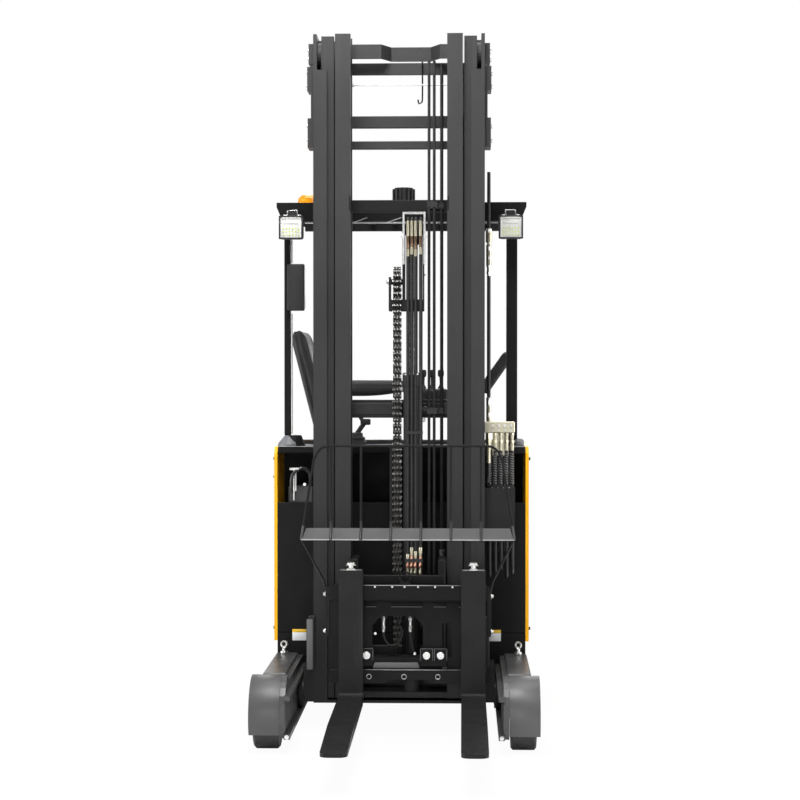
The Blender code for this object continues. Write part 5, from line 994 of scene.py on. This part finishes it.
def make_body_details():
    """Boots, painted highlights along the shroud's edges, the rear trim, vent, seams, grip, tow pin, screws,
    floor ribs and sill.
    """
    boot = turned((-0.5, 0.458, BODY_TOP + 0.0001), UP,
                  [(0.0, 0.0), (0.052, 0.0), (0.052, 0.006), (0.047, 0.016), (0.038, 0.026),
                   (0.03, 0.036), (0.0235, 0.044), (0.019, 0.0475), (0.0, 0.0475)], 40)
    make_piece("post_boot", boot, GREY_PLASTIC, "chassis")
    make_piece("corner_boot", [
        block((0.5, 0.54), (0.38, 0.45), (BODY_TOP + 0.0001, 1.22), 0.015, 4),
        block((0.495, 0.543), (0.376, 0.456), (BODY_TOP + 0.0001, 1.19), 0.002),
    ], GREY_PLASTIC, "chassis")
    # Painted highlight: pale strips along the shroud's top front edge and a line below it stand for the light
    # those edges catch.
    make_piece("shroud_edge_highlights", [
        block((-0.544, 0.544), (0.3742, 0.3785), (1.1842, 1.1862), 0.0008),
        block((-0.3, 0.36), (0.3742, 0.3765), (1.169, 1.171), 0.0005),
    ], EDGE_HIGHLIGHT, "chassis")
    make_piece("rear_panel_trim", [
        block((-0.545, 0.545), (1.143, 1.1462), (1.04, 1.1835), 0.001),
        plate("Z", [(-0.545, 1.1462), (0.545, 1.1462), (0.545, 1.16), (0.508, 1.218), (0.45, 1.235),
                    (-0.45, 1.235), (-0.508, 1.218), (-0.545, 1.16)], 1.1842, 1.188, 0.0015),
    ], BLACK_PLASTIC, "chassis")
    vent = block((-0.564, -0.5602), (0.79, 1.01), (0.56, 0.8), 0.0015)
    for row in range(9):
        z = 0.575 + row * 0.025
        outline = [(0.0, z), (0.0085, z - 0.004), (0.0085, z - 0.001), (0.0, z + 0.01)]
        add(vent, plate("Y", [(-0.5638 - x, high) for x, high in outline], 0.802, 0.998, 0.0004))
    make_piece("side_vent", vent, BLACK_PLASTIC, "chassis")
    make_piece("door_seams", [
        block((-0.5608, -0.5601), (0.719, 0.7215), (0.332, 1.182), 0.0002),
        block((-0.5608, -0.5601), (0.376, 1.144), (0.908, 0.9105), 0.0002),
    ], BODY_BLACK, "chassis")
    make_piece("door_grip", [
        block((-0.564, -0.5601), (0.48, 0.62), (1.02, 1.07), 0.0015),
        pipe(smooth_path([(-0.564, 0.5, 1.045), (-0.5735, 0.506, 1.045), (-0.574, 0.55, 1.045),
                          (-0.5735, 0.594, 1.045), (-0.564, 0.6, 1.045)], 0.01), 0.0045),
    ], BLACK_PLASTIC, "chassis")
    make_piece("tow_pin", [
        block((-0.07, 0.07), (1.2365, 1.248), (0.17, 0.182), 0.002),
        block((-0.07, 0.07), (1.2365, 1.248), (0.262, 0.274), 0.002),
        post(0.0, 1.2422, 0.16, 0.284, 0.0062, sides=24, bevel=0.001),
        post(0.0, 1.2422, 0.284, 0.292, 0.0072, sides=24, bevel=0.001),
    ], ZINC, "chassis")
    screws = [socket_screw((side * CHASSIS_HALF, y, z), (side, 0, 0), 0.012)
              for side in (LEFT, RIGHT) for y in (0.43, 0.7, 1.115) for z in (0.38, 1.13)]
    make_piece("panel_screws", screws, BODY_BLACK, "chassis")
    lid = [block(x, y, (BODY_TOP + 0.0001, BODY_TOP + 0.0016), 0.0005) for x, y in (
        ((-0.3, 0.42), (0.42, 0.424)), ((-0.3, 0.42), (0.68, 0.684)),
        ((-0.303, -0.299), (0.42, 0.684)), ((0.417, 0.421), (0.42, 0.684)))]
    make_piece("shroud_lid_seam", lid, RUBBER_BLACK, "chassis")
    ribs = [block((x, x + 0.012), (0.735, 1.085), (0.4157, 0.4172), 0.0006)
            for x in (0.085 + i * 0.037 for i in range(12))]
    make_piece("floor_ribs", ribs, RUBBER_BLACK, "chassis")
    sill = block((0.5455, 0.5605), (0.762, 1.088), (0.4302, 0.4342), 0.001)
    make_piece("entry_sill", sill, STEEL, "chassis")


def make_guard_details():
    """Roof bolts, painted highlights along the beam's lower edge and on two braces, the beacon's base, the
    side box's lid with a painted highlight on its edge, and painted highlight strips on the post.
    """
    bolts = [hex_bolt((x, y, 2.252), UP, 0.009) for x in (-0.506, 0.506) for y in (0.47, 1.15)]
    make_piece("guard_roof_bolts", bolts, ZINC, "chassis")
    # Painted highlight: pale strips along the beam's lower edge and on two braces stand for the light those
    # edges catch.
    face = (0.3772, 0.3799)
    braces = gather(block((-0.425, 0.425), face, (2.165, 2.17), 0.0008))
    for low in (-0.216, -0.067):
        outline = [(low, 2.17), (low + 0.012, 2.17), (low + 0.071, 2.191), (low + 0.063, 2.191)]
        add(braces, plate("Y", outline, *face, 0.0005))
    make_piece("guard_brace_highlights", braces, EDGE_HIGHLIGHT, "chassis")
    base = turned((-0.455, 0.9, 2.2535), UP,
                  [(0.0, 0.0), (0.056, 0.0), (0.056, 0.016), (0.0545, 0.0185), (0.0, 0.0185)], 40)
    make_piece("beacon_base", base, BLACK_PLASTIC, "chassis")
    make_piece("side_box_lid", [
        block((-0.503, -0.432), (0.396, 0.3985), (1.79, 1.984), 0.001),
        socket_screw((-0.494, 0.3962, 1.8), FRONT, 0.005),
        socket_screw((-0.44, 0.3962, 1.974), FRONT, 0.005),
    ], BLACK_PLASTIC, "chassis")
    # Painted highlight: a pale strip stands for the light on the side box's edge.
    edge = block((-0.4292, -0.4262), (0.404, 0.436), (1.796, 1.978), 0.001)
    make_piece("side_box_edge_highlight", edge, EDGE_HIGHLIGHT, "chassis")
    # Painted highlight: thin zinc strips stand for the lit side of the post.
    make_piece("post_highlight_strips", [
        pipe(smooth_path([(-0.489, 0.452, 1.24), (-0.489, 0.45, 1.5), (-0.489, 0.45, 1.772)], 0.05), 0.0045),
        pipe(smooth_path([(-0.489, 0.45, 1.996), (-0.489, 0.45, 2.08), (-0.489, 0.452, 2.2)], 0.05), 0.0045),
    ], ZINC, "chassis")


def make_controls():
    """The display's screen and keys, the lever on the shroud, and the armrest's frame and levers."""
    tilt = Matrix.Translation((0.421, 0.708, 1.51)) @ Matrix.Rotation(math.radians(35), 4, "Y")
    screen = add(bmesh.new(), block((-0.0262, -0.024), (-0.062, 0.062), (-0.06, 0.088), 0.001), tilt)
    make_piece("display_screen", screen, SCREEN, "chassis")
    keys = bmesh.new()
    for y in (-0.048 + i * 0.032 for i in range(4)):
        add(keys, block((-0.0275, -0.024), (y - 0.01, y + 0.01), (-0.088, -0.072), 0.002), tilt)
    make_piece("display_keys", keys, GREY_PLASTIC, "chassis")
    make_piece("tilt_lever", [
        turned((-0.215, 0.69, BODY_TOP + 0.0002), UP,
               [(0.0, 0.0), (0.05, 0.0), (0.047, 0.014), (0.039, 0.018), (0.041, 0.03), (0.031, 0.036),
                (0.028, 0.052), (0.0, 0.056)], 32),
        rod((-0.215, 0.69, 1.228), (-0.178, 0.69, 1.282), 0.011, sides=16),
        block((-0.196, -0.15), (0.676, 0.704), (1.272, 1.3), 0.006),
        rod((-0.186, 0.69, 1.29), (-0.214, 0.69, 1.338), 0.009, sides=16, bevel=0.002),
        rod((-0.214, 0.69, 1.338), (-0.234, 0.69, 1.33), 0.008, sides=16, bevel=0.002),
    ], RUBBER_BLACK, "chassis")
    frame_parts = gather(
        block((-0.3, -0.262), (0.725, 0.745), (0.9772, 1.42), 0.003),
        block((0.02, 0.2), (0.7055, 0.7645), (1.38, 1.4365), 0.01, 3),
    )
    levers = bmesh.new()
    for lever_x in (0.09, 0.13, 0.17):
        y = 0.735 + 0.014 * (lever_x - 0.13) / 0.04
        add(frame_parts, post(lever_x, y, 1.432, 1.495, 0.006))
        add(levers, turned((lever_x, y, 1.477), UP,
                           [(0.0066, 0.0), (0.0066, 0.012), (0.0135, 0.018), (0.0145, 0.036), (0.012, 0.046),
                            (0.0, 0.048)], 24))
        add(levers, turned((lever_x, y, 1.4372), UP,
                           [(0.0, 0.0), (0.015, 0.0), (0.013, 0.006), (0.009, 0.012), (0.0067, 0.018)], 24))
    make_piece("armrest_frame", frame_parts, BLACK_PLASTIC, "chassis")
    make_piece("lever_knobs", levers, RUBBER_BLACK, "chassis")


# Padding

def inflate(name, bm, pressure, cap, node):
    """A padded piece in a node's place: bm remeshed and blown up as cloth, by no more than cap."""
    mesh = bpy.data.meshes.new(name)
    bm.to_mesh(mesh)
    bm.free()
    piece = new_object(name, mesh)
    remesh = piece.modifiers.new("remesh", "REMESH")
    remesh.mode = "VOXEL"
    remesh.voxel_size = PAD_VOXEL
    freeze(piece)
    rest = [vert.co.copy() for vert in piece.data.vertices]
    cloth = piece.modifiers.new("cloth", "CLOTH")
    cloth.settings.quality = 4
    cloth.settings.use_pressure = True
    cloth.settings.uniform_pressure_force = pressure
    cloth.settings.effector_weights.gravity = 0.0
    scene = bpy.context.scene
    for step in range(1, CLOTH_STEPS + 1):
        scene.frame_set(step)
    freeze(piece)
    scene.frame_set(1)
    for vert, start in zip(piece.data.vertices, rest):
        move = vert.co - start
        if move.length > cap:
            vert.co = start + move * (cap / move.length)
    piece.data.materials.clear()
    piece.data.materials.append(SEAT_VINYL)
    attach(piece, "chassis")
    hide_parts(node)
    return piece


def freeze(piece):
    """Puts a piece's modifiers into its mesh."""
    depsgraph = bpy.context.evaluated_depsgraph_get()
    mesh = bpy.data.meshes.new_from_object(piece.evaluated_get(depsgraph))
    piece.modifiers.clear()
    piece.data = mesh


def press_seams(piece, seams, width, depth):
    """Presses sewn lines in: each seam gives the distance from its line at a point."""
    bm = bmesh.new()
    bm.from_mesh(piece.data)
    bm.normal_update()
    moves = []
    for vert in bm.verts:
        near = min(abs(seam(vert.co)) for seam in seams)
        if near < 3 * width:
            moves.append((vert, vert.normal * depth * math.exp(-(near / width) ** 2)))
    for vert, move in moves:
        vert.co -= move
    bmesh.ops.smooth_vert(bm, verts=bm.verts[:], factor=0.25, use_axis_x=True, use_axis_y=True,
                          use_axis_z=True)
    bm.to_mesh(piece.data)
    bm.free()
    piece.data.shade_smooth()


def make_seat():
    """The cushion, with its bolsters and sewn channels, and the tapering back."""
    low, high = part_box("seat_cushion")
    cushion = block((low.x + 0.006, high.x - 0.008), (low.y + 0.006, high.y - 0.006),
                    (low.z + 0.003, high.z - 0.014), 0.026, 4)
    pad = inflate("seat_pad", cushion, 4.0, 0.01, "seat_cushion")
    middle = (low.y + high.y) / 2
    top = low.z + 0.07
    front_x = low.x
    half = 0.125
    seams = [lambda p, y=y: (p.y - middle + y) if p.z > top else 1.0 for y in (-half, half)]
    seams += [lambda p, x=x: (p.x - front_x - x) if p.z > top and abs(p.y - middle) < half else 1.0
              for x in (0.13, 0.24)]
    press_seams(pad, seams, 0.006, 0.007)
    low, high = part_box("seat_back")
    foot_x = -0.3
    lean = math.tan(math.radians(13.6))
    top_x = foot_x - (high.z - 1.08) * lean
    outline = [(foot_x - 0.008, low.z + 0.006), (foot_x - 0.008, 1.105), (top_x - 0.006, high.z - 0.04),
               (top_x - 0.022, high.z - 0.009), (top_x - 0.056, high.z - 0.009),
               (top_x - 0.067, high.z - 0.04), (foot_x - 0.107, 1.235), (foot_x - 0.107, low.z + 0.006)]
    back = plate("Y", outline, low.y + 0.008, high.y - 0.008, 0.008)
    pad = inflate("seat_back_pad", back, 3.0, 0.006, "seat_back")
    middle = (low.y + high.y) / 2
    face = foot_x - 0.05
    seams = [lambda p: p.y - middle - 0.13, lambda p: p.y - middle + 0.13,
             lambda p: p.x - face + (p.z - 1.08) * lean]
    seams += [lambda p, z=z: (p.z - z) if abs(p.y - middle) < 0.13 else 1.0 for z in (1.25, 1.4, 1.55)]
    press_seams(pad, seams, 0.005, 0.005)


def make_armrest_pad():
    """The padded rest on its frame, with a sewn edge along each side."""
    outline = [(-0.306, 1.407), (-0.13, 1.407), (0.036, 1.43), (0.036, 1.466), (0.026, 1.473),
               (-0.296, 1.473), (-0.306, 1.46)]
    pad = inflate("armrest_pad", plate("Y", outline, 0.709, 0.761, 0.012), 3.0, 0.004, "armrest")
    press_seams(pad, [lambda p: p.z - 1.452], 0.004, 0.003)


# Hydraulics

def make_manifold_details():
    """The riser's fittings and hose, and the manifold's nuts, lead, plugs and tab."""
    riser_x = 0.383
    y = MANIFOLD_Y
    fittings = [fitting((riser_x, y, start), (riser_x, y, end), size) for start, end, size in (
        (2.135, 2.07, 0.0125), (2.06, 1.99, 0.0115), (1.98, 1.93, 0.0105), (1.395, 1.3, 0.011))]
    fittings.append(post(riser_x + 0.001, y, 1.395, 1.402, 0.0125, bevel=0.001))
    make_piece("riser_fittings", fittings, ZINC, "mast_outer_body")
    make_piece("riser_hose", [
        post(riser_x, y, 1.39, 1.935, 0.0082),
        post(riser_x, y, 2.13, 2.38, 0.0082, 0.0075),
    ], HOSE_BLACK, "mast_outer_body")
    nuts = bmesh.new()
    for x in REACH_HOSE_XS:
        add(nuts, post(x, y, 1.2488, 1.238, 0.011, sides=6, bevel=0.0012))
        add(nuts, post(x, y, 1.238, 1.216, 0.008))
        add(nuts, post(x, y, 1.216, 1.203, 0.0112, sides=6, bevel=0.0012))
        add(nuts, post(x, y, 1.203, 1.172, 0.0092, 0.0086))
    x = REACH_HOSE_XS[0] - 0.004
    add(nuts, post(x, y - 0.016, 1.2488, 1.205, 0.015, sides=6, bevel=0.0015))
    add(nuts, post(x, y - 0.016, 1.205, 1.118, 0.0095))
    make_piece("manifold_nuts", nuts, GOLD_ZINC, "mast_outer_body")
    lead = pipe(smooth_path([(x, y - 0.016, 1.12), (x, y - 0.018, 1.08), (x, y - 0.026, 1.045),
                             (x - 0.002, y - 0.04, 1.03)], 0.02), 0.0075)
    make_piece("brake_lead", lead, HOSE_BLACK, "mast_outer_body")
    plugs = [socket_screw((0.4 + index * 0.026, y - 0.02, z), FRONT, size)
             for index in range(4) for z, size in ((1.28, 0.012), (1.26, 0.007))]
    make_piece("manifold_plugs", plugs, ZINC, "mast_outer_body")
    make_piece("bracket_tab", [
        block((0.47, 0.486), (y + 0.0185, y + 0.0198), (0.832, 0.856), 0.0005),
        hex_bolt((0.47, y + 0.0198, 0.93), FRONT, 0.007),
        hex_bolt((0.4, y + 0.0198, 0.93), FRONT, 0.007),
    ], GOLD_ZINC, "mast_outer_body")


# Wheels

def about(axle, x, radius, angle):
    """A point at x, a radius away from an axle at an angle in degrees."""
    turn = math.radians(angle)
    return (x, axle.y + radius * math.cos(turn), axle.z + radius * math.sin(turn))


def make_wheel_covers():
    """The round covers over the load wheels: a rolled shell closed by an outer plate."""
    low = math.degrees(math.asin((COVER_BOTTOM - LOAD_AXLE.z) / COVER_RADIUS))
    steps = 72

    def curve(radius, start, end):
        return [about(LOAD_AXLE, 0.0, radius, start + (end - start) * step / steps)[1:]
                for step in range(steps + 1)]

    for side_name, side in SIDES:
        shell = curve(COVER_RADIUS, 0, 180 - low) + curve(COVER_RADIUS - COVER_WALL, 180 - low, 0)
        lid = curve(COVER_RADIUS, low, 180 - low)
        make_piece("cover_shell_" + side_name, [
            plate("X", shell, *sorted((side * COVER_INNER, side * COVER_EDGE)), 0.0006),
            plate("X", lid, *sorted((side * COVER_EDGE, side * COVER_OUTER)), 0.0014),
        ], COVER_LIT_GREY, "chassis", ("wheel_cover_" + side_name,), 40)


def make_wheel_details():
    """Axle caps, cover bolts, lifting eyes, hub bolts and the drive wheel's nuts."""
    for side_name, side in SIDES:
        cap = turned((side * (LOAD_AXLE.x + 0.059), LOAD_AXLE.y, LOAD_AXLE.z), (side, 0, 0),
                     [(0.0, 0.0015), (0.014, 0.001), (0.0168, 0.0), (0.0168, -0.003), (0.0, -0.003)], 28)
        make_piece("axle_end_" + side_name, cap, STEEL, "chassis")
        bolts = [socket_screw(about(LOAD_AXLE, side * 0.5767, 0.132, angle), (side, 0, 0), 0.0042)
                 for angle in (30, 80, 130)]
        bolts.append(hex_bolt((side * 0.424, -0.505, 0.07), FRONT, 0.009))
        make_piece("cover_bolts_" + side_name, bolts, ZINC, "chassis")
        eye_x = side * 0.512
        make_piece("lifting_eye_" + side_name, [
            post(eye_x, 0.33, 0.2783, 0.29, 0.017, sides=28, bevel=0.002),
            post(eye_x, 0.33, 0.29, 0.304, 0.009),
            ring((eye_x, 0.33, 0.3195), (0, 1, 0), 0.012, 0.005, 28),
        ], ZINC, "chassis")
        hub_x = LOAD_AXLE.x * side - side * 0.044
        hub = [hex_bolt(about(LOAD_AXLE, hub_x, 0.075, 60 * i), (-side, 0, 0), 0.007, washer=False)
               for i in range(6)]
        make_piece("hub_bolts_" + side_name, hub, STEEL, f"load_wheel_{side_name}_body")
    nuts = [hex_bolt(about(DRIVE_AXLE, DRIVE_AXLE.x - 0.04, 0.082, 360 * i / 7), (-1, 0, 0), 0.011)
            for i in range(7)]
    make_piece("drive_wheel_nuts", nuts, ZINC, "drive_wheel_body")


# Surroundings

def make_stage():
    """A pale floor, a white surround and soft lights."""
    white = (1.0, 1.0, 1.0, 1.0)
    floor_mesh = bpy.data.meshes.new("floor")
    bm = bmesh.new()
    bmesh.ops.create_grid(bm, x_segments=1, y_segments=1, size=14.0)
    bm.to_mesh(floor_mesh)
    bm.free()
    floor = new_object("floor", floor_mesh)
    surface = Surface("pale_floor", 0.75)
    surface.colour(surface.mix(surface.patches(1.5, 3.0), (0.86, 0.86, 0.86), (0.9, 0.9, 0.9)))
    tree = surface.tree
    whiteness = surface.remap(surface.distance(surface.place), 1.2, 3.2, 0.955, 1.0)
    glow = new_node(tree, "Emission", {"Color": white, "Strength": 1.0})
    share = surface.math("MULTIPLY", new_node(tree, "LightPath").outputs["Is Camera Ray"], whiteness)
    blend = new_node(tree, "MixShader", {0: share, 1: surface.shader.outputs[0], 2: glow.outputs[0]})
    tree.links.new(blend.outputs[0], tree.nodes["Material Output"].inputs["Surface"])
    floor_mesh.materials.append(surface.material)
    world = bpy.data.worlds.new("surround")
    world.use_nodes = True
    tree = world.node_tree
    lighting = tree.nodes["Background"]
    lighting.inputs["Color"].default_value = white
    lighting.inputs["Strength"].default_value = 0.22
    backdrop = new_node(tree, "Background", {"Strength": 1.0, "Color": white})
    choose = new_node(tree, "MixShader", {0: new_node(tree, "LightPath").outputs["Is Camera Ray"],
                                          1: lighting.outputs[0], 2: backdrop.outputs[0]})
    tree.links.new(choose.outputs[0], tree.nodes["World Output"].inputs["Surface"])
    bpy.context.scene.world = world
    lamps = (
        # name, place, target, size, power
        ("key", (-0.4, -1.6, 4.6), (0.0, 0.0, 2.4), 1.6, 150.0),
        ("left", (-4.4, -0.8, 1.8), (-0.5, 0.4, 1.0), 2.2, 120.0),
        ("right", (4.6, -0.8, 1.8), (0.5, 0.4, 1.0), 2.2, 120.0),
        ("low", (-0.4, -5.0, 0.8), (0.0, -0.4, 0.3), 1.8, 36.0),
        ("high", (1.5, -5.0, 8.5), (0.0, 0.0, 6.5), 3.0, 160.0),
        ("top", (0.3, 1.2, 5.4), (0.0, 0.4, 0.0), 3.0, 110.0),
        ("back", (0.0, 5.0, 3.2), (0.0, 0.4, 1.0), 3.0, 100.0),
    )
    for name, place, target, size, power in lamps:
        light = bpy.data.lights.new(name, "AREA")
        light.shape = "SQUARE"
        light.size = size
        light.energy = power
        lamp = new_object(name, light)
        lamp.location = place
        lamp.rotation_euler = (Vector(target) - Vector(place)).to_track_quat("-Z", "Y").to_euler()
    bpy.context.scene.view_settings.view_transform = "Standard"


place_camera()
make_reach_hoses()
dress_nodes()
make_stage()
make_chain()
make_mast_details()
make_crosshead_details()
make_tilt_frame_details()
make_fork_carriage_details()
make_work_lights()
make_labels()
make_connector()
make_body_details()
make_guard_details()
make_controls()
make_seat()
make_armrest_pad()
make_manifold_details()
make_wheel_covers()
make_wheel_details()
